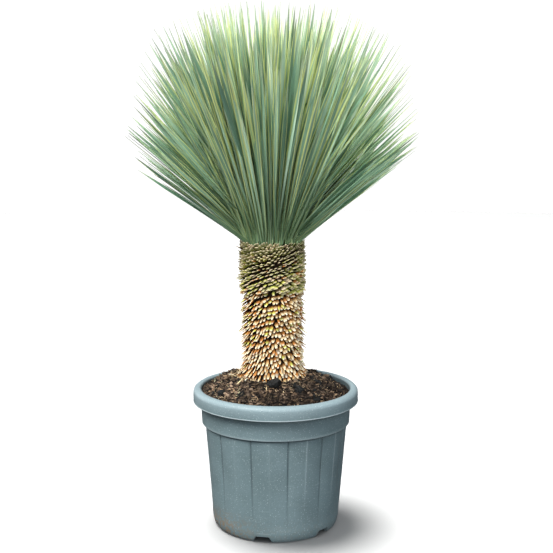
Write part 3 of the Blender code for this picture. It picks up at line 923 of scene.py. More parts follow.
    def mark(self, mesh: bpy.types.Mesh) -> None:
        """Give the pot's points painted shade, soil splashes, and painted highlights and wear, each 0 to 1.

        Painted shade follows a bell curve across each crease, and lies under the shoulder, under the skirt
        and on the inner wall below the rim. Splashes thicken towards the foot and the left. Painted
        highlights lie on the lip, where they also stand for its worn edge, on the shoulder's corner and
        along the reeds' ridges, brighter towards the right. Wear lies on the foot's bottom edge.

        Args:
            mesh: the finished pot's mesh.
        """
        flat = np.empty(3 * len(mesh.vertices), np.float32)
        mesh.vertices.foreach_get("co", flat)
        x, y, z = flat.reshape(-1, 3).T.astype(float)
        radius = np.hypot(x, y)
        turn, off = self.off_crease(np.arctan2(x, -y), radius)
        on_body = z < self.body_top
        # painted shade: a dark line along each crease
        painted_shade = self.crease_shade * np.exp(-(off / self.painted_line_width) ** 2)
        painted_shade = painted_shade * share_of(z, self.reed_fade, self.reed_full) * on_body
        # painted shade: a dark line under the shoulder
        painted_shade = np.maximum(painted_shade, self.step_shade * np.exp(-((z - self.body_top) / 0.0018) ** 2))
        # painted shade under the skirt
        under_skirt = (z > self.skirt_foot - 0.012) & (z < self.rim_underside)
        under_skirt = under_skirt & (radius < self.rim_radius - 0.002)
        shaded = self.skirt_shade * share_of(z, self.skirt_foot - 0.010, self.skirt_foot)
        painted_shade = np.maximum(painted_shade, shaded * under_skirt)
        # painted shade on the inner wall below the rim
        lean = np.where(z < self.rim_underside, 0.05, 0.60)
        mouth = self.mouth_radius + 0.001 + lean * (z - self.rim_underside)
        inner = (z > self.shoulder_foot + 0.004) & (radius < mouth)
        below_rim = share_of(z, self.height - 0.0005, self.height - 0.0050)
        painted_shade = np.maximum(painted_shade, self.mouth_shade * inner * below_rim)
        splash = share_of(z, 0.062, 0.004) * (0.12 + 0.88 * share_of(x, -0.035, -0.115))
        # painted highlight along the lip, which also stands for its worn edge
        on_lip = (radius > self.rim_radius + 0.1 * self.lip) & (z < self.skirt_foot + 0.0022)
        highlight_and_wear = self.lip_highlight_and_wear * on_lip
        # painted highlight on the shoulder's corner
        corner = self.corner_highlight * np.exp(-((z - self.shoulder_foot + 0.0004) / 0.0007) ** 2)
        highlight_and_wear = np.maximum(highlight_and_wear, corner * (radius > self.shoulder_foot_radius - self.step_round))
        # painted highlight along the reeds' ridges, brighter towards the right
        ridge = np.abs(turn - 0.5) * math.tau / self.reed_count * radius
        lit = np.exp(-(ridge / self.painted_line_width) ** 2) * share_of(z, 0.06, 0.15) * on_body
        highlight_and_wear = np.maximum(highlight_and_wear, lit * (0.06 + 0.22 * share_of(x, 0.02, 0.08)))
        # wear on the foot's bottom edge
        on_foot = radius > self.foot_radius - 0.002
        highlight_and_wear = np.maximum(highlight_and_wear, self.foot_wear * share_of(z, 0.003, 0.0) * on_foot)
        spread_trait(mesh, "marks", np.stack((painted_shade, splash, highlight_and_wear), axis=-1))

    def cut_notches(self, grid: Array) -> Array:
        """Raise the foot ring over each drainage notch, whose sides lean in towards its top.

        Args:
            grid: (..., 3) places on the pot.

        Returns:
            The places, with those over a notch raised.
        """
        azimuth = np.arctan2(grid[..., 0], -grid[..., 1])
        pitch = math.tau / self.notch_count
        off = np.abs((azimuth - self.first_notch + pitch / 2) % pitch - pitch / 2) * self.foot_radius
        opening = self.notch_height * share_of(off, self.notch_foot_width / 2, self.notch_top_width / 2)
        ring = np.hypot(grid[..., 0], grid[..., 1]) > self.foot_radius - self.foot_width - 0.0001
        height = np.where(ring, np.maximum(grid[..., 2], opening), grid[..., 2])
        return np.concatenate((grid[..., :2], height[..., None]), axis=-1)

    def drilled(self, mesh: bpy.types.Mesh) -> bpy.types.Mesh:
        """Cut the ring of drain holes through the floor.

        Args:
            mesh: the turned pot.

        Returns:
            A new mesh with the holes.
        """
        turn = (np.arange(self.drain_count) + 0.5) * math.tau / self.drain_count
        angle = self.first_notch - math.pi / 2 + turn
        hole = np.array([(self.drain_radius, -2 * self.wall), (self.drain_radius, 2 * self.wall)])
        circle = np.linspace(0, math.tau, 24, endpoint=False)
        cutter = np.repeat(revolved(hole, circle), self.drain_count, axis=0)
        cutter = cutter + (around(angle) * self.drain_circle + UP * self.floor_top)[:, None, None]
        pot = bpy.data.objects.new("pot_blank", mesh)
        drill = bpy.data.objects.new("drill", piece_mesh("drill", cutter))
        for made in (pot, drill):
            bpy.context.scene.collection.objects.link(made)
        cut = pot.modifiers.new("drains", "BOOLEAN")
        cut.object = drill
        bpy.context.view_layer.update()
        graph = bpy.context.evaluated_depsgraph_get()
        result = bpy.data.meshes.new_from_object(pot.evaluated_get(graph))
        result.name = "pot_shell"
        result.materials.clear()
        for made in (pot, drill):
            bpy.data.objects.remove(made, do_unlink=True)
        return result

    def build(self) -> None:
        """Build the pot."""
        section = np.concatenate((self.outside(), self.inside()))
        angles = np.linspace(0.0, math.tau, self.columns, endpoint=False)
        grid = self.cut_notches(self.press_reeds(revolved(section, angles)))
        mesh = self.drilled(piece_mesh("pot_turned", grid, looped=True))
        self.mark(mesh)
        show_piece(mesh, PotPlastic().material(), ("pot",), sharp_above=12.0)


@dataclass
class SoilBed:
    """The compost in the pot, and the crumbs, fibres, chips and flakes that lie on it."""

    top: float = 0.3312
    plateau: float = 0.092
    edge: float = 0.2940
    edge_radius: float = 0.1608
    mouth_radius: float = 0.162
    tilt_right: float = 0.0020
    tilt_front: float = 0.0030
    bump: float = 0.0026
    axis_x: float = -0.0055
    hole_radius: float = 0.0587
    hole_foot: float = 0.2697
    side_foot: float = 0.2800
    step_top: tuple[float, float] = (0.1574, 0.2333)
    step_foot: tuple[float, float] = (0.1482, 0.2200)
    corner_top: tuple[float, float] = (0.1317, 0.0330)
    floor_radius: float = 0.1225
    floor: float = 0.0173
    pinhole: float = 0.0005
    rings: int = 150
    columns: int = 480
    # brighter towards the left and darker towards the right
    lighter_left: float = 0.35
    darker_right: float = 0.12
    patch_size: float = 0.020
    patch_light: tuple[float, float] = (0.32, 1.65)
    relief: float = 0.0052
    back_dip: float = 0.0090
    crumb_count: int = 3000
    fibre_count: int = 1500
    chip_count: int = 900
    flake_count: int = 60
    crumb_colours: tuple[str, ...] = ("#0c0a08", "#191512", "#3a3028", "#5a4c40", "#7c6b5b", "#26201b")
    fibre_colours: tuple[str, ...] = ("#c0ab88", "#6a5848", "#43372e", "#28211c", "#84705a", "#4e4136")
    chip_colours: tuple[str, ...] = ("#382e26", "#5c4b3c", "#131010", "#1a1513", "#7e6a54")
    flake_colours: tuple[str, ...] = ("#b8a684", "#8a7658", "#c8bca4", "#6e5c46")

    def height(self, x: Array, y: Array) -> Array:
        """Work out the soil's height: level round the trunk, lower behind, falling to the wall.

        Products of sines over x and y make its waves.

        Args:
            x: places to the right.
            y: places to the back.

        Returns:
            A height for each place.
        """
        azimuth = np.arctan2(x, -y)
        edge = self.edge - self.tilt_right * np.sin(azimuth) - self.tilt_front * np.cos(azimuth)
        share = share_of(np.hypot(x - self.axis_x, y), self.plateau, self.mouth_radius)
        wave = np.sin(x * 118.0 + 0.6) * np.sin(y * 97.0 + 1.9) + 0.6 * np.sin(x * 61.0 - y * 73.0)
        dip = self.back_dip * eased(share_of(y, -0.01, 0.08)) * (1.0 - share)
        level = self.top + (edge - self.top) * eased(share)
        return level + self.bump * wave * np.sin(math.pi * share) - dip

    def surface(self, x: Array, y: Array) -> Array:
        """Work out the crumbly surface's height: the soil's height and four layers of noise.

        Args:
            x: places to the right.
            y: places to the back.

        Returns:
            A height for each place.
        """
        level = np.stack((x, y, np.zeros_like(x)), axis=-1)
        calm = 1.0 - share_of(np.hypot(x, y), self.edge_radius - 0.004, self.edge_radius)
        return self.height(x, y) + self.relief * calm * layered_noise(level, 0.014, 4, seed=3)

    def bed(self) -> Array:
        """Turn the soil's section: the hole's floor and wall, the top, the side and the underside.

        Returns:
            (1, rows, columns, 3) places, closed round each row.
        """
        angles = np.linspace(0.0, math.tau, self.columns, endpoint=False)
        radius = np.linspace(self.hole_radius, self.edge_radius, self.rings)
        grid = np.concatenate((
            revolved(run((self.pinhole, self.hole_foot), (self.hole_radius, self.hole_foot), 3), angles),
            revolved(run((self.hole_radius, self.hole_foot), (self.hole_radius, self.top), 4), angles),
            revolved(np.stack((radius, np.full_like(radius, self.top)), axis=-1), angles),
            revolved(run((self.edge_radius, self.side_foot), self.step_top, 4), angles),
            revolved(run(self.step_foot, self.corner_top, 8), angles),
            revolved(run((self.floor_radius, self.floor), (self.pinhole, self.floor), 6), angles),
        ), axis=1)
        first = 7
        from_middle = np.hypot(grid[..., 0], grid[..., 1])
        shift = self.axis_x * (1 - share_of(from_middle, self.hole_radius, self.edge_radius))
        grid[:, :first + self.rings, :, 0] += shift[:, :first + self.rings]
        upper = grid[:, first:first + self.rings]
        upper[..., 2] = self.surface(upper[..., 0], upper[..., 1])
        return grid

    def scatter(self, count: int, draw: np.random.Generator, near: float, far: float) -> Array:
        """Spread points evenly over the soil: the square of the radius is drawn, not the radius.

        Args:
            count: how many points.
            draw: source of random numbers.
            near: least radius.
            far: greatest radius.

        Returns:
            (count, 3) places at the surface's height.
        """
        radius = np.sqrt(draw.uniform(near ** 2, far ** 2, count))
        place = around(draw.uniform(0.0, math.tau, count)) * radius[:, None]
        place[:, 0] += self.axis_x * (1 - share_of(radius, self.hole_radius, self.edge_radius))
        place[:, 2] = self.surface(place[:, 0], place[:, 1])
        return place

    def crumbs(self, draw: np.random.Generator) -> Array:
        """Make lumps of compost: short rings whose radius follows a half circle, pushed by noise.

        Args:
            draw: source of random numbers.

        Returns:
            (bodies, rings, points, 3) places.
        """
        centre = self.scatter(self.crumb_count, draw, 0.066, 0.156)
        size = draw.uniform(0.0012, 0.0054, self.crumb_count) * draw.uniform(0.5, 1.0, self.crumb_count)
        turn = draw.uniform(0.0, math.tau, self.crumb_count)
        share = np.linspace(-0.94, 0.94, 5)
        path = centre[:, None] + around(turn)[:, None] * (size[:, None] * share)[..., None]
        girth = size[:, None] * np.sqrt(1.0 - share ** 2) * 0.85
        side = around(turn + math.pi / 2)[:, None] * girth[..., None]
        lift = UP * girth[..., None] * 0.75
        angle = np.linspace(0.0, math.tau, 6, endpoint=False)
        lumps = swept(path, side, lift, np.stack((np.cos(angle), np.sin(angle)), axis=-1))
        push = layered_noise(lumps, 0.0025, 2, seed=17)[..., None] * 0.28 * size[:, None, None, None]
        return lumps + push * unit(lumps - centre[:, None, None])

    def fibres(self, draw: np.random.Generator) -> Array:
        """Make curved strands that lie on the soil: level arcs that lift a little at one end.

        Args:
            draw: source of random numbers.

        Returns:
            (bodies, rings, points, 3) places.
        """
        count = self.fibre_count
        centre = self.scatter(count, draw, 0.068, 0.157)
        length = draw.uniform(0.005, 0.019, count)
        turn = draw.uniform(0.0, math.tau, count)
        bend = draw.normal(0.0, 0.9, count)
        share = np.linspace(-0.5, 0.5, 6)
        angle = turn[:, None] + bend[:, None] * share
        step = around(angle) * (length[:, None, None] / (len(share) - 1))
        path = centre[:, None] + np.cumsum(step, axis=1) - step.sum(axis=1, keepdims=True) / 2
        reach = np.hypot(path[..., 0], path[..., 1])
        path[..., :2] *= np.minimum(1.0, 0.1585 / reach)[..., None]
        rise = draw.uniform(0.0004, 0.0024, count)[:, None] * (share + 0.5) + 0.0005
        path[..., 2] = np.maximum(self.surface(path[..., 0], path[..., 1]), centre[:, 2:3] - 0.001) + rise
        taper = np.sqrt(1.0 - (1.9 * share) ** 2 * 0.9)
        girth = draw.uniform(0.0003, 0.0008, count)[:, None] * taper
        side = around(angle + math.pi / 2) * girth[..., None]
        outline = np.array([(-1.0, 0.0), (0.0, 1.0), (1.0, 0.0), (0.0, -1.0)])
        return swept(path, side, UP * girth[..., None] * 0.6, outline)

    def chips(self, draw: np.random.Generator) -> Array:
        """Make chips of bark: flat tapered slabs tilted at random.

        Args:
            draw: source of random numbers.

        Returns:
            (bodies, rings, points, 3) places.
        """
        count = self.chip_count
        centre = self.scatter(count, draw, 0.070, 0.153)
        turn = draw.uniform(0.0, math.tau, count)
        tilt = draw.normal(0.0, 0.30, count)
        forward = around(turn) * np.cos(tilt)[:, None] + UP * np.sin(tilt)[:, None]
        across = around(turn + math.pi / 2)
        over = np.cross(forward, across)
        length = draw.uniform(0.003, 0.0075, count)
        share = np.linspace(-1.0, 1.0, 4)
        path = centre[:, None] + forward[:, None] * (length[:, None] * share)[..., None] + UP * 0.0008
        width = draw.uniform(0.0014, 0.0036, count)[:, None] * (1.0 - 0.45 * share ** 2)
        side = across[:, None] * width[..., None]
        lift = over[:, None] * np.full_like(width, 0.0009)[..., None]
        slab = np.array([(-1, 0), (-0.7, 1), (0.7, 1), (1, 0), (0.7, -1), (-0.7, -1)])
        return swept(path, side, lift, slab)

    def flakes(self, draw: np.random.Generator) -> Array:
        """Make dry scales fallen off the trunk: thin tapered strips, most of them at its left.

        Args:
            draw: source of random numbers.

        Returns:
            (bodies, rings, points, 3) places.
        """
        count = self.flake_count
        leftward = draw.random(count) < 0.7
        left = draw.normal(math.pi + 0.30, 0.40, count)
        bearing = np.where(leftward, left, draw.uniform(0.0, math.tau, count))
        heading = bearing + draw.normal(0.0, 0.60, count)
        share = np.linspace(0.0, 1.0, 6)
        start = around(bearing) * draw.uniform(0.064, 0.094, count)[:, None]
        start[:, 0] += self.axis_x
        length = draw.uniform(0.008, 0.022, count)
        path = start[:, None] + around(heading)[:, None] * (length[:, None] * share)[..., None]
        path[..., 2] = self.surface(path[..., 0], path[..., 1]) + 0.0014 + 0.0030 * (1.0 - share) ** 2
        width = draw.uniform(0.0012, 0.0026, count)[:, None] * (1.0 - 0.7 * share ** 2)
        side = around(heading + math.pi / 2)[:, None] * width[..., None]
        outline = np.array([(-1.0, 0.0), (-0.5, 1.0), (0.5, 1.0), (1.0, 0.0), (0.0, -1.0)])
        return swept(path, side, UP * np.full_like(width, 0.0008)[..., None], outline)

    def build(self) -> None:
        """Build the bed and what lies on it."""
        compost = Compost().material()
        dry = DryFibre().material()
        show_piece(piece_mesh("soil_bed", self.bed()), compost, ("soil",), sharp_above=80.0)
        draw = np.random.default_rng(41)
        for name, grid, colours in (
            ("soil_crumbs", self.crumbs(draw), self.crumb_colours),
            ("soil_fibres", self.fibres(draw), self.fibre_colours),
            ("bark_chips", self.chips(draw), self.chip_colours),
            ("pale_flakes", self.flakes(draw), self.flake_colours),
        ):
            mesh = piece_mesh(name, grid)
            palette = np.array([linear(colour)[:3] for colour in colours])
            place = grid[:, 0, 0]
            patch = share_of(layered_noise(place, self.patch_size, 2, seed=9), -0.35, 0.4)
            drier = graded(self.patch_light, patch)
            # brighter towards the left and darker towards the right
            drier = drier * (1.0 + self.lighter_left * share_of(-place[:, 0], 0.01, 0.13))
            drier = drier * (1.0 - self.darker_right * share_of(place[:, 0], 0.03, 0.11))
            tint = palette[draw.integers(len(colours), size=len(grid))] * drier[:, None]
            spread_trait(mesh, "bit_colour", np.minimum(tint, 0.85))
            show_piece(mesh, dry, sharp_above=50.0)


@dataclass
class Clods:
    """Charred clods half sunk in the soil, each an angular lump, and smaller charred crumbs round them."""

    places: tuple[tuple[float, float, float, float, float], ...] = (
        (-0.0033, -0.1020, 0.0162, 0.0152, 0.32),
        (-0.1125, -0.0830, 0.0120, 0.0115, 0.30),
        (0.0500, -0.0980, 0.0105, 0.0088, 0.42),
        (0.1190, 0.0370, 0.0120, 0.0120, 0.35),
        (0.1425, 0.0180, 0.0090, 0.0086, 0.38),
    )
    breadth: float = 0.84
    facets: int = 34
    rows: int = 30
    columns: int = 44
    patches: tuple[tuple[float, float, float, int], ...] = (
        (0.0905, -0.0542, 0.0100, 26),
        (0.1050, 0.0180, 0.0130, 34),
        (-0.0723, -0.1050, 0.0080, 16),
        (0.0845, -0.1006, 0.0070, 16),
        (-0.0450, -0.1180, 0.0060, 9),
        (-0.1300, -0.0560, 0.0080, 12),
        (-0.0800, -0.0620, 0.0060, 10),
        (0.0480, -0.0960, 0.0090, 16),
        (0.0200, 0.1250, 0.0150, 16),
        (-0.0900, 0.1000, 0.0120, 12),
    )

    def lump(self, place: tuple[float, float, float, float, float], soil: SoilBed, seed: int) -> Array:
        """Make one clod: a ball cut by planes at random distances, with a little noise on its faces.

        Along each direction the radius is the least, over the planes that face that way, of the plane's
        distance over the cosine of the angle between them.

        Args:
            place: its x and y, half its length and height, and how much of it is sunk in the soil.
            soil: what it lies on.
            seed: picks its planes.

        Returns:
            (1, rows, columns, 3) places.
        """
        x, y, half_length, half_height, sunk = place
        ground = float(soil.height(np.array(x), np.array(y)))
        middle = np.array([x, y, ground + half_height * (1 - 2 * sunk)])
        height = np.radians(np.linspace(-88.0, 88.0, self.rows))
        columns = np.linspace(0.0, math.tau, self.columns, endpoint=False)
        ball = revolved(np.stack((np.cos(height), np.sin(height)), axis=-1), columns)
        draw = np.random.default_rng(seed)
        planes = unit(draw.normal(0.0, 1.0, (self.facets, 3)))
        cosine = np.maximum(ball @ planes.T, 0.05)
        radius = np.min(draw.uniform(0.66, 1.00, self.facets) / cosine, axis=-1)
        radius = np.minimum(radius, 1.06) * (1.0 + 0.10 * layered_noise(ball, 0.42, 4, seed))
        size = np.array([half_length, half_length * self.breadth, half_height])
        return ball * radius[..., None] * size + middle

    def crumbs(self, soil: SoilBed, draw: np.random.Generator) -> Array:
        """Make the small charred crumbs of each patch: squat angular lumps, thickest in the middle.

        Args:
            soil: what they lie on.
            draw: source of random numbers.

        Returns:
            (bodies, rings, points, 3) places.
        """
        centre = []
        for x, y, spread, count in self.patches:
            place = np.array([x, y, 0.0]) + draw.normal(0.0, 0.6, (count, 3)) * spread
            place[:, 2] = soil.surface(place[:, 0], place[:, 1])
            centre.append(place)
        middle = np.concatenate(centre)
        count = len(middle)
        size = draw.uniform(0.0016, 0.0048, count)
        turn = draw.uniform(0.0, math.tau, count)
        share = np.linspace(-1.0, 1.0, 5)
        path = middle[:, None] + around(turn)[:, None] * (size[:, None] * share)[..., None]
        profile = np.array([0.45, 0.85, 1.0, 0.80, 0.40])
        girth = size[:, None] * profile * draw.uniform(0.75, 1.15, (count, 5))
        angle = np.linspace(0.0, math.tau, 6, endpoint=False)
        section = np.stack((np.cos(angle), np.sin(angle) * 0.8), axis=-1)
        side = around(turn + math.pi / 2)[:, None] * girth[..., None]
        return swept(path, side, UP * girth[..., None], section)

    def build(self, soil: SoilBed) -> None:
        """Build each clod, and the crumbs round them.

        Args:
            soil: what they lie on.
        """
        charred = Charcoal().material()
        for number, place in enumerate(self.places, start=1):
            mesh = piece_mesh(f"charred_clod_{number}", self.lump(place, soil, seed=50 + number))
            show_piece(mesh, charred, (f"clod_{number}",), sharp_above=16.0)
        crumbs = piece_mesh("charred_crumbs", self.crumbs(soil, np.random.default_rng(23)))
        show_piece(crumbs, charred, sharp_above=30.0)


class ScaleTint(Enum):
    """Colours that a leaf base on the trunk can have."""

    CREAM = "#f0deb4"
    STRAW = "#dabd8a"
    RUST = "#cd8a48"
    LIME = "#cdcf62"
    GREY = "#b5a996"
    OLIVE = "#acad74"
    MOSS = "#bbc062"
    BROWN = "#7c6646"
    SAND = "#ecd6b6"


@dataclass
class Coat:
    """One coat of leaf bases on the trunk, laid along parallel helices that rise to the right.

    A field with two values holds the one at the coat's foot and the one at its top; slopes are in
    degrees below the level.
    """

    name: str
    node: str
    slot: str
    low: float
    high: float
    foot: float
    top: float
    radius: float
    row_pitch: float
    helices: int
    per_turn: float
    length: tuple[float, float]
    half_width: tuple[float, float]
    thickness: tuple[float, float]
    slope: tuple[float, float]
    bend: tuple[float, float]
    neck: float
    full_at: float
    end: tuple[float, float]
    lift: float
    crown: float
    jitter: float
    tints: tuple[tuple[ScaleTint, float, float], ...]
    seed: int
    flare: float = 0.0
    furrows: int = 8
    bunching: tuple[float, float] = (0.0, 0.0)
    coarse_foot: float = 0.0
    odd: float = 0.0
    splay_left: float = 0.0
    spikes: tuple[tuple[float, float], ...] = ()
    rings: int = 8
    sink: float = 0.004
    spread_height: float = 0.045
    stump_radius: float = 0.0575
    # painted shade: a near-black core that shows only in the gaps between the leaf bases
    core_shade: str = "#2c1f12"

    def spread(self, z: Array, axis: TrunkAxis) -> Array:
        """Return how strongly the trunk's foot spreads at a height, from 1 at the soil to 0."""
        return 1.0 - eased(share_of(z, axis.foot, axis.foot + self.spread_height))

    def places(self, draw: np.random.Generator) -> tuple[Array, Array]:
        """Place the leaf bases along the helices, jittered a little.

        A sine of the distance across the helices bunches the rows, which opens furrows between them.
        A parabola over the height sets the rows further apart at the foot than at the top.

        Args:
            draw: source of random numbers.

        Returns:
            The angle and the height of each leaf base.
        """
        rows = math.ceil((self.high - self.low) / self.row_pitch)
        steps = math.ceil(rows * self.per_turn / self.helices)
        helix, step = np.meshgrid(np.arange(self.helices), np.arange(steps), indexing="ij")
        turned = step.ravel() / self.per_turn
        angle = math.tau * (helix.ravel() / self.helices + turned)
        height = self.low + turned * self.helices * self.row_pitch
        angle = angle + draw.normal(0.0, self.jitter, angle.size) * math.tau / self.per_turn
        height = height + draw.normal(0.0, self.jitter, angle.size) * self.row_pitch
        up = share_of(height, self.low, self.high)
        climb = self.helices * self.row_pitch
        phase = math.tau * self.furrows * (height / climb - angle / math.tau)
        height = height + graded(self.bunching, up) * climb / self.furrows * np.sin(phase) / math.tau
        height = height + self.coarse_foot * (self.high - self.low) * up * (1.0 - up)
        kept = (height >= self.low) & (height < self.high)
        return angle[kept], height[kept]

    def section(self) -> Array:
        """Return a leaf base's outline across: a low crowned back over a flatter underside."""
        slope = 0.65 * self.crown
        return np.array([
            (-1.0, -0.15), (-0.62, slope), (0.0, self.crown), (0.62, slope), (1.0, -0.15), (0.0, -0.45)])

    def scales(self, axis: TrunkAxis, draw: np.random.Generator) -> tuple[Array, Array]:
        """Make the leaf bases.

        Each path bends evenly: its slope below the level grows by equal steps, and the steps' cosines
        and sines add up to how far it reaches and how far it drops.

        Args:
            axis: the trunk's axis.
            draw: source of random numbers.

        Returns:
            (bodies, rings, points, 3) places, and how high up the coat each body is, from 0 to 1.
        """
        angle, height = self.places(draw)
        count = angle.size
        up = share_of(height, self.low, self.high)
        flared = self.spread(height, axis) * (1.0 + self.splay_left * share_of(-np.cos(angle), 0.2, 0.9))
        odd = draw.random(count) < self.odd
        for azimuth, level in self.spikes:
            odd |= np.hypot((angle % math.tau - azimuth) * self.radius, height - level) < self.row_pitch
        length = graded(self.length, up) * draw.uniform(0.82, 1.14, count) * np.where(odd, 1.35, 1.0)
        slope = np.radians(graded(self.slope, up)) + draw.normal(0.0, self.jitter, count)
        turn = np.radians(graded(self.bend, up)) * draw.uniform(0.6, 1.3, count)
        share = np.linspace(0.0, 1.0, self.rings)
        now = slope[:, None] + turn[:, None] * share
        halfway = (now[:, 1:] + now[:, :-1]) / 2
        step = (length / (self.rings - 1))[:, None]
        reach = np.pad(np.cumsum(np.cos(halfway) * step, axis=1), ((0, 0), (1, 0)))
        drop = np.pad(np.cumsum(np.sin(halfway) * step, axis=1), ((0, 0), (1, 0)))
        yaw = draw.normal(0.0, self.jitter, count)
        outward = around(angle + yaw)[:, None]
        sideways = around(angle + yaw + math.pi / 2)[:, None]
        root = axis.place(height) + around(angle) * (self.radius + self.flare * flared - self.sink)[:, None]
        path = root[:, None] + outward * reach[..., None] - UP * drop[..., None]
        over = outward * np.sin(now)[..., None] + UP * np.cos(now)[..., None]
        climb = math.atan(self.helices * self.row_pitch / (math.tau * self.radius))
        roll = draw.normal(climb, 1.5 * self.jitter, count)[:, None, None]
        side = sideways * np.cos(roll) + over * np.sin(roll)
        lift = over * np.cos(roll) - sideways * np.sin(roll)
        size = graded(self.half_width, up) * draw.uniform(0.80, 1.15, count) * np.where(odd, 0.55, 1.0)
        width = size[:, None] * self.width_along(share, draw.uniform(*self.end, count))
        depth = graded(self.thickness, up) * draw.uniform(0.8, 1.15, count)
        depth = depth[:, None] * (1.0 - self.lift * share)
        return swept(path, side * width[..., None], lift * depth[..., None], self.section()), up

    def width_along(self, share: Array, end: Array) -> Array:
        """Return the width along leaf bases: a neck that widens, full width, then each one's own end."""
        grown = self.neck + (1.0 - self.neck) * eased(share_of(share, 0.15, self.full_at))
        return grown * (1.0 - (1.0 - end[:, None]) * eased(share_of(share, self.full_at, 1.0)))

    def core(self, axis: TrunkAxis) -> Array:
        """Turn the trunk under the coat: a column with noise on its radius.

        Args:
            axis: the trunk's axis.

        Returns:
            (1, rows, columns, 3) places.
        """
        heights = np.concatenate((np.linspace(self.foot, self.low, 6), np.linspace(self.low, self.top, 40)))
        swell = self.flare * self.spread(heights, axis) * (heights > axis.foot - 0.001)
        radius = np.where(heights < axis.foot, self.stump_radius, self.radius - 0.0015 + swell)
        circle = np.linspace(0.0, math.tau, 120, endpoint=False)
        grid = revolved(np.stack((radius, heights), axis=-1), circle)
        grid = grid + axis.place(heights)[None, :, None] * np.array([1.0, 1.0, 0.0])
        push = 0.0012 * layered_noise(grid, 0.008, 3, self.seed) * (grid[..., 2] > axis.foot)
        return grid + push[..., None] * around(np.arctan2(grid[..., 1], grid[..., 0]))

    def colours(self, up: Array, draw: np.random.Generator) -> Array:
        """Draw a colour for each leaf base, from the chances that hold at its height.

        Args:
            up: how high up the coat each leaf base is, from 0 to 1.
            draw: source of random numbers.

        Returns:
            (bodies, 3) linear colours.
        """
        palette = np.array([linear(tint.value)[:3] for tint, _, _ in self.tints])
        chances = np.cumsum([graded((low, high), eased(up)) for _, low, high in self.tints], axis=0)
        picks = np.argmax(draw.random(up.size) * chances[-1] < chances, axis=0)
        return np.clip(palette[picks] * draw.uniform(0.80, 1.12, up.size)[:, None], 0.0, 1.0)

    def build(self, axis: TrunkAxis, bark: bpy.types.Material, base: bpy.types.Material) -> None:
        """Build the core and its coat.

        Args:
            axis: the trunk's axis.
            bark: the core's finish.
            base: the leaf bases' finish.
        """
        draw = np.random.default_rng(self.seed)
        core = piece_mesh(self.name + "_core", self.core(axis))
        spread_trait(core, "bit_colour", np.array([linear(self.core_shade)[:3]]))
        show_piece(core, bark, (self.node,), sharp_above=60.0)
        grid, up = self.scales(axis, draw)
        grid[..., 2] = np.maximum(grid[..., 2], axis.foot - 0.008)
        mesh = piece_mesh(self.name, grid)
        spread_trait(mesh, "bit_colour", self.colours(up, draw))
        show_piece(mesh, base, (self.node,), sharp_above=50.0)


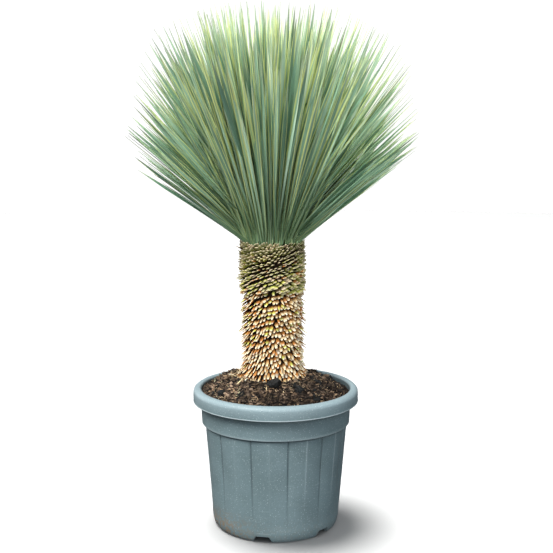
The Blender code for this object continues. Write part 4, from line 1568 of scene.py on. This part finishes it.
@dataclass
class LeafHead:
    """The ball of leaves: a slim dome with stiff narrow blades that radiate from it."""

    count: int = 1450
    seed: int = 29
    foot: float = 0.6283
    top_of_trunk: float = 0.628
    axis_x: float = -0.0080
    head_x: float = -0.0060
    core_radius: float = 0.066
    core_height: float = 0.125
    core_shoulder: float = 0.070
    core_foot_radius: float = 0.060
    core_side: tuple[float, float] = (0.055, 0.008)
    # painted shade: a near-black dome that shows only in the gaps between the blades
    core_shade: str = "#1c2413"
    root_spread: float = 0.97
    lowest: float = math.radians(61.0)
    sink: float = 0.010
    width: float = 0.0100
    keel: float = 0.0034
    rings: int = 9
    whole_share: float = 0.28
    whole_length: tuple[float, float] = (0.965, 1.0)
    short_length: tuple[float, float] = (0.71, 0.95)
    steeper: tuple[float, float] = (0.30, 0.76)
    tuft_size: float = 0.18
    tuft_depth: float = 0.02
    root_drop: float = 0.005
    front_reach: float = 0.07
    right_reach: float = 0.025
    reach_angles: tuple[float, ...] = (0, 20, 30, 37, 45, 50, 55, 61)
    reach_lengths: tuple[float, ...] = (0.498, 0.507, 0.500, 0.470, 0.423, 0.403, 0.381, 0.332)

    def dome_section(self) -> Array:
        """Work out the dome's section from its top down: a quarter of an ellipse, then an upright side.

        Returns:
            (points, 2) radii and heights.
        """
        angle = np.radians(np.linspace(89.0, 0.0, 14))
        rise = self.core_height - self.core_shoulder
        height = self.foot + self.core_shoulder + rise * np.sin(angle)
        cap = np.stack((self.core_radius * np.cos(angle), height), axis=-1)
        top, low = ((self.core_radius, self.foot + level) for level in self.core_side)
        return np.concatenate((cap, run(top, low, 5), [low, (self.core_foot_radius, self.foot)]))

    def on_dome(self, share: Array) -> Array:
        """Find places on the dome, with equal shares for equal areas from its top down.

        Args:
            share: shares of the way down the dome.

        Returns:
            A radius and a height for each.
        """
        section = self.dome_section()
        step = np.diff(section, axis=0)
        area = (section[1:, 0] + section[:-1, 0]) * np.hypot(step[:, 0], step[:, 1])
        covered = np.concatenate(([0.0], np.cumsum(area))) / area.sum()
        return np.stack([np.interp(share, covered, section[:, axis]) for axis in (0, 1)], axis=-1)

    def stations(self, draw: np.random.Generator) -> tuple[Array, Array, Array]:
        """Place the blades by the golden angle from the top down, in equal shares of the solid angle.

        Most of the low ones at the front rise more steeply than their place gives them.

        Args:
            draw: source of random numbers.

        Returns:
            Each blade's share of the way down the dome, its angle from the vertical and its azimuth.
        """
        share = (np.arange(self.count) + 0.5) / self.count
        angle = np.arccos(1.0 - share * (1.0 - math.cos(self.lowest)))
        angle = np.clip(angle + draw.normal(0.0, 0.025, self.count), 0.0, self.lowest + 0.03)
        azimuth = np.arange(self.count) * GOLDEN_ANGLE
        front = share_of(-np.sin(azimuth), 0.20, 0.75)
        low = share_of(np.degrees(angle), 24.0, 42.0)
        raised = draw.random(self.count) < front * low
        return share, np.where(raised, angle * draw.uniform(*self.steeper, self.count), angle), azimuth

    def blades(self, draw: np.random.Generator) -> tuple[Array, Array]:
        """Make the blades.

        Each blade is nearly straight: a small bow follows half a sine along it, and it twists evenly.
        Its width eases up from a narrow neck and falls off to a long point. Where noise over the ball
        is high the blades are shorter, which parts the outline into tufts. Those that lean out at the
        front and at the right are a little longer.

        Args:
            draw: source of random numbers.

        Returns:
            (bodies, rings, points, 3) places, and each blade's angle from the vertical.
        """
        share, angle, azimuth = self.stations(draw)
        count = share.size
        radius, height = self.on_dome(share * self.root_spread).T
        foot = around(azimuth) * radius[:, None] + np.array([self.axis_x, 0.0, -self.root_drop])
        foot[:, 2] += height
        azimuth = azimuth + draw.normal(0.0, 0.035, count)
        length = np.interp(np.degrees(angle), self.reach_angles, self.reach_lengths)
        stretch = self.front_reach * share_of(-np.sin(azimuth), 0.6, 1.0)
        stretch = stretch + self.right_reach * share_of(np.cos(azimuth), 0.6, 1.0)
        length = length * (1.0 + stretch * share_of(np.degrees(angle), 32.0, 42.0))
        whole = draw.random(count) < self.whole_share
        longer, shorter = (draw.uniform(*pair, count) for pair in (self.whole_length, self.short_length))
        length = length * np.where(whole, longer, shorter)
        heading = around(azimuth) * np.sin(angle)[:, None] + UP * np.cos(angle)[:, None]
        parted = share_of(layered_noise(heading, self.tuft_size, 2, self.seed), 0.1, 0.7)
        length = length * (1.0 - self.tuft_depth * parted)
        tip = heading * length[:, None] + np.array([self.head_x, 0.0, self.top_of_trunk])
        along = unit(tip - foot)
        root = foot - along * self.sink
        share = np.linspace(0.0, 1.0, self.rings)
        side = unit(np.cross(along, UP + around(azimuth) * 0.02))
        over = np.cross(side, along)
        roll = draw.normal(0.0, 0.50, count)[:, None] + draw.normal(0.0, 0.40, count)[:, None] * share
        span = np.linalg.norm(tip - root, axis=-1)
        bow = (draw.normal(0.0, 0.006, count) * span)[:, None] * np.sin(math.pi * share)
        sag = (draw.normal(0.004, 0.005, count) * span)[:, None] * np.sin(math.pi * share)
        path = root[:, None] + (tip - root)[:, None] * share[:, None]
        path = path + side[:, None] * bow[..., None] + over[:, None] * sag[..., None]
        cos, sin = np.cos(roll)[..., None], np.sin(roll)[..., None]
        across = side[:, None] * cos + over[:, None] * sin
        above = over[:, None] * cos - side[:, None] * sin
        width = self.width * draw.uniform(0.80, 1.12, count)[:, None] * self.width_along(share) / 2
        depth = self.keel * (1.0 - 0.80 * share) * np.ones((count, 1))
        section = np.array([(-1.0, 0.0), (0.0, -0.50), (1.0, 0.0), (0.0, -1.0)])
        return swept(path, across * width[..., None], above * depth[..., None], section), angle

    def width_along(self, share: Array) -> Array:
        """Return the width along a blade as a share of its full width."""
        grown = 0.34 + 0.66 * eased(share_of(share, 0.0, 0.82))
        return grown * (1.0 - 0.97 * share_of(share, 0.72, 1.0) ** 1.4)

    def build(self, bark: bpy.types.Material) -> list[bpy.types.Object]:
        """Build the dome and the blades.

        Args:
            bark: the dome's finish.

        Returns:
            Both pieces.
        """
        draw = np.random.default_rng(self.seed)
        dome = revolved(self.dome_section(), np.linspace(0.0, math.tau, 48, endpoint=False))
        dome[..., 0] += self.axis_x
        core = piece_mesh("leaf_dome", dome)
        spread_trait(core, "bit_colour", np.array([linear(self.core_shade)[:3]]))
        shown = [show_piece(core, bark, ("leaf_crown",), sharp_above=60.0)]
        grid, angle = self.blades(draw)
        count = angle.size
        mesh = piece_mesh("leaf_blades", grid)
        young = 1.0 - angle / self.lowest
        old = share_of(np.degrees(angle), 42.0, 58.0)
        pale = np.clip(draw.normal(0.28, 0.16, count) + 0.10 * young + 0.09 * old, 0.0, 0.85)
        dry = np.where(draw.random(count) < 0.004, 0.45, 0.0) + draw.uniform(0.0, 0.05, count)
        bright = np.clip(0.22 + 0.50 * young ** 2 - 0.10 * old + draw.normal(0.0, 0.30, count), 0.0, 1.0)
        spread_trait(mesh, "leaf_traits", np.stack((pale, dry, bright), axis=-1))
        leaf = WaxyLeaf().material()
        shown.append(show_piece(mesh, leaf, ("leaf_crown",), sharp_above=60.0))
        return shown


@dataclass(frozen=True)
class Lamp:
    """A large soft lamp, so far off that its rays run alongside each other; angles in degrees."""

    name: str
    height: float
    azimuth: float
    strength: float
    softness: float
    colour: str = "#ffffff"

    def place(self) -> bpy.types.Object:
        """Put the lamp into the scene; at an azimuth of 0 it shines from the front, below 0 from the left.

        Returns:
            The lamp's object.
        """
        data = bpy.data.lights.new(self.name, "SUN")
        data.energy = self.strength
        data.angle = math.radians(self.softness)
        data.color = linear(self.colour)[:3]
        lamp = bpy.data.objects.new(self.name, data)
        lamp.rotation_euler = (math.radians(90.0 - self.height), 0.0, math.radians(self.azimuth))
        bpy.context.scene.collection.objects.link(lamp)
        return lamp


def linked(name: str, objects: list[bpy.types.Object], state: str) -> bpy.types.Collection:
    """Make a collection for light linking.

    Args:
        name: the lamp's name, or what the collection is for.
        objects: its members.
        state: INCLUDE or EXCLUDE, the same for all.

    Returns:
        The collection.
    """
    group = bpy.data.collections.new("linked_" + name)
    for number, member in enumerate(objects):
        group.objects.link(member)
        group.collection_objects[number].light_linking.link_state = state
    return group


@dataclass
class Studio:
    """The camera, the pale floor, the white surround and the soft light."""

    camera_place: tuple[float, float, float] = (0.0018, -2.0957, 0.8526)
    camera_pitch: float = math.radians(81.71)
    lens: float = 63.86
    floor_radius: float = 9.0
    surround_radius: float = 30.0
    key: Lamp = Lamp("key", height=50.0, azimuth=-37.0, strength=4.1, softness=32.0, colour="#fffaf4")
    fill: Lamp = Lamp("fill", height=16.0, azimuth=22.0, strength=1.15, softness=60.0, colour="#fbfdff")
    edge: Lamp = Lamp("edge", height=15.0, azimuth=-125.0, strength=0.75, softness=40.0)
    leaf_lights: tuple[Lamp, ...] = (
        Lamp("leaf_light_right", height=8.0, azimuth=88.0, strength=5.4, softness=40.0, colour="#fffaf6"),
        Lamp("leaf_light_left", height=8.0, azimuth=-98.0, strength=3.3, softness=40.0, colour="#fffcfa"),
    )
    floor_light: Lamp = Lamp("floor_light", height=77.0, azimuth=-120.0, strength=6.9, softness=31.0)
    board: str = "#b9b9b8"
    surround_glow: float = 1.05
    sky: str = "#f8fbff"
    sky_overhead: float = 0.70
    sky_level: float = 0.31
    ground_light: float = 0.20

    def camera(self) -> None:
        """Place the camera where the photograph was taken from."""
        data = bpy.data.cameras.new("camera")
        data.lens = self.lens
        data.sensor_width = 36.0
        camera = bpy.data.objects.new("camera", data)
        camera.location = self.camera_place
        camera.rotation_euler = (self.camera_pitch, 0.0, 0.0)
        bpy.context.scene.collection.objects.link(camera)
        bpy.context.scene.camera = camera

    def light(self, floor: bpy.types.Object, leaves: list[bpy.types.Object]) -> None:
        """Add the lamps, and a sky that is brightest overhead.

        The key and the fill leave the floor out, and the edge lamp leaves out the floor and the leaves.
        The floor has a lamp of its own from overhead, which passes the leaves by, so that only a small
        soft shadow shows round the foot. The leaves have one more lamp on each side.

        Args:
            floor: the floor's object.
            leaves: the leaf head's pieces.
        """
        lit = (
            (self.key, [floor], "EXCLUDE"),
            (self.fill, [floor], "EXCLUDE"),
            (self.edge, [floor, *leaves], "EXCLUDE"),
            (self.floor_light, [floor], "INCLUDE"),
            *((lamp, leaves, "INCLUDE") for lamp in self.leaf_lights),
        )
        for lamp, objects, state in lit:
            linking = lamp.place().light_linking
            linking.receiver_collection = linked(lamp.name, objects, state)
            if lamp is self.floor_light:
                linking.blocker_collection = linked("passed_by", leaves, "EXCLUDE")
        world = bpy.data.worlds.new("sky")
        world.use_nodes = True
        bpy.context.scene.world = world
        tree = world.node_tree
        direction = add_node(tree, "TexCoord", {}, {}).outputs["Generated"]
        height = add_node(tree, "SeparateXYZ", {}, {"Vector": direction}).outputs["Z"]
        upper = add_node(tree, "MapRange", {"interpolation_type": "SMOOTHSTEP"}, {
            "Value": height, "From Min": 0.0, "From Max": 0.9,
            "To Min": self.sky_level, "To Max": self.sky_overhead})
        whole = add_node(tree, "MapRange", {"interpolation_type": "SMOOTHSTEP"}, {
            "Value": height, "From Min": -0.25, "From Max": 0.0, "To Min": self.ground_light})
        strength = add_node(tree, "Math", {"operation": "MULTIPLY"}, {
            0: upper.outputs[0], 1: whole.outputs[0]})
        background = tree.nodes["Background"]
        background.inputs["Color"].default_value = linear(self.sky)
        tree.links.new(strength.outputs[0], background.inputs["Strength"])

    def surround(self) -> bpy.types.Object:
        """Add the floor, and a white shell that only the camera sees.

        Returns:
            The floor.
        """
        circle = np.linspace(0.0, math.tau, 64, endpoint=False)
        slab = np.array([(self.floor_radius, -0.02), (self.floor_radius, -0.0002)])
        floor = bpy.data.objects.new("floor", piece_mesh("floor", revolved(slab, circle)))
        board = bpy.data.materials.new("matt_white_board")
        board.use_nodes = True
        shader = board.node_tree.nodes["Principled BSDF"]
        shader.inputs["Base Color"].default_value = linear(self.board)
        shader.inputs["Roughness"].default_value = 0.9
        shader.inputs["Specular IOR Level"].default_value = 0.0
        floor.data.materials.append(board)
        floor.visible_diffuse = floor.visible_glossy = floor.visible_shadow = False
        height = np.radians(np.linspace(-89.0, 89.0, 33))
        ball = np.stack((np.cos(height), np.sin(height)), axis=-1) * self.surround_radius
        shell = bpy.data.objects.new("white_surround", piece_mesh("white_surround", revolved(ball, circle)))
        glow = bpy.data.materials.new("white_paper_lit")
        glow.use_nodes = True
        shader = glow.node_tree.nodes["Principled BSDF"]
        shader.inputs["Base Color"].default_value = linear("#000000")
        shader.inputs["Emission Color"].default_value = linear("#ffffff")
        shader.inputs["Emission Strength"].default_value = self.surround_glow
        shell.data.materials.append(glow)
        shell.visible_diffuse = shell.visible_glossy = False
        shell.visible_shadow = shell.visible_transmission = False
        for made in (floor, shell):
            bpy.context.scene.collection.objects.link(made)
        return floor

    def build(self, leaves: list[bpy.types.Object]) -> None:
        """Set up the camera, light and surround, and show colours as the photograph does.

        Args:
            leaves: the leaf head's pieces.
        """
        bpy.context.scene.view_settings.view_transform = "Standard"
        self.camera()
        self.light(self.surround(), leaves)


def coats() -> tuple[Coat, Coat]:
    """Describe the trunk's two coats.

    Returns:
        The tan lower coat and the olive upper coat.
    """
    lower = Coat(
        name="dry_leaf_bases", node="lower_trunk", slot="dry_leaf_bases",
        low=0.3345, high=0.5270, foot=0.270, top=0.5243, radius=0.0565,
        row_pitch=0.0100, helices=11, per_turn=49.5,
        length=(0.0235, 0.0190), half_width=(0.0034, 0.0044), thickness=(0.0030, 0.0024),
        slope=(58.0, 40.0), bend=(-14.0, -14.0),
        neck=0.66, full_at=0.62, end=(0.20, 0.66), lift=0.40, crown=0.55, jitter=0.09,
        tints=((ScaleTint.CREAM, 0.46, 0.24), (ScaleTint.STRAW, 0.40, 0.22), (ScaleTint.RUST, 0.08, 0.24),
               (ScaleTint.LIME, 0.00, 0.28), (ScaleTint.GREY, 0.06, 0.02)),
        seed=7, flare=0.0120, furrows=5, bunching=(0.10, 0.45), odd=0.05, splay_left=0.5,
        spikes=((6.10, 0.476), (6.20, 0.462), (6.05, 0.446), (3.30, 0.452)))
    upper = Coat(
        name="cut_leaf_stubs", node="upper_trunk", slot="cut_leaf_stubs",
        low=0.5230, high=0.6165, foot=0.5246, top=0.6280, radius=0.0600,
        row_pitch=0.0047, helices=26, per_turn=40.5,
        length=(0.0165, 0.0165), half_width=(0.0060, 0.0042), thickness=(0.0023, 0.0013),
        slope=(26.0, -34.0), bend=(4.0, -12.0),
        neck=0.90, full_at=0.55, end=(0.60, 0.85), lift=0.20, crown=0.80, jitter=0.06,
        tints=((ScaleTint.LIME, 0.42, 0.03), (ScaleTint.OLIVE, 0.10, 0.50), (ScaleTint.MOSS, 0.12, 0.24),
               (ScaleTint.SAND, 0.12, 0.16), (ScaleTint.RUST, 0.18, 0.00), (ScaleTint.BROWN, 0.04, 0.06)),
        seed=11, furrows=9, bunching=(0.58, 0.36), coarse_foot=0.40, odd=0.06)
    return lower, upper


def main() -> None:
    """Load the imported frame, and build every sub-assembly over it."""
    logging.basicConfig(level=logging.INFO, format="%(message)s")
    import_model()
    axis = TrunkAxis()
    soil = SoilBed()
    NurseryPot().build()
    soil.build()
    Clods().build(soil)
    bark = DryFibre(name="rough_trunk_bark", darkest=0.35).material()
    lower, upper = coats()
    lower.build(axis, bark, DryLeafBase().material())
    stub = DryLeafBase(
        # its dark root colour is painted shade at each stub's root
        name="cut_green_leaf_stub", root_shade="#1c1a0f", rust="#666436", cut_end="#e8dcb8",
        rust_until=0.36, tip_from=0.70)
    upper.build(axis, bark, stub.material())
    Studio().build(LeafHead().build(bark))


if __name__ == "__main__":
    main()
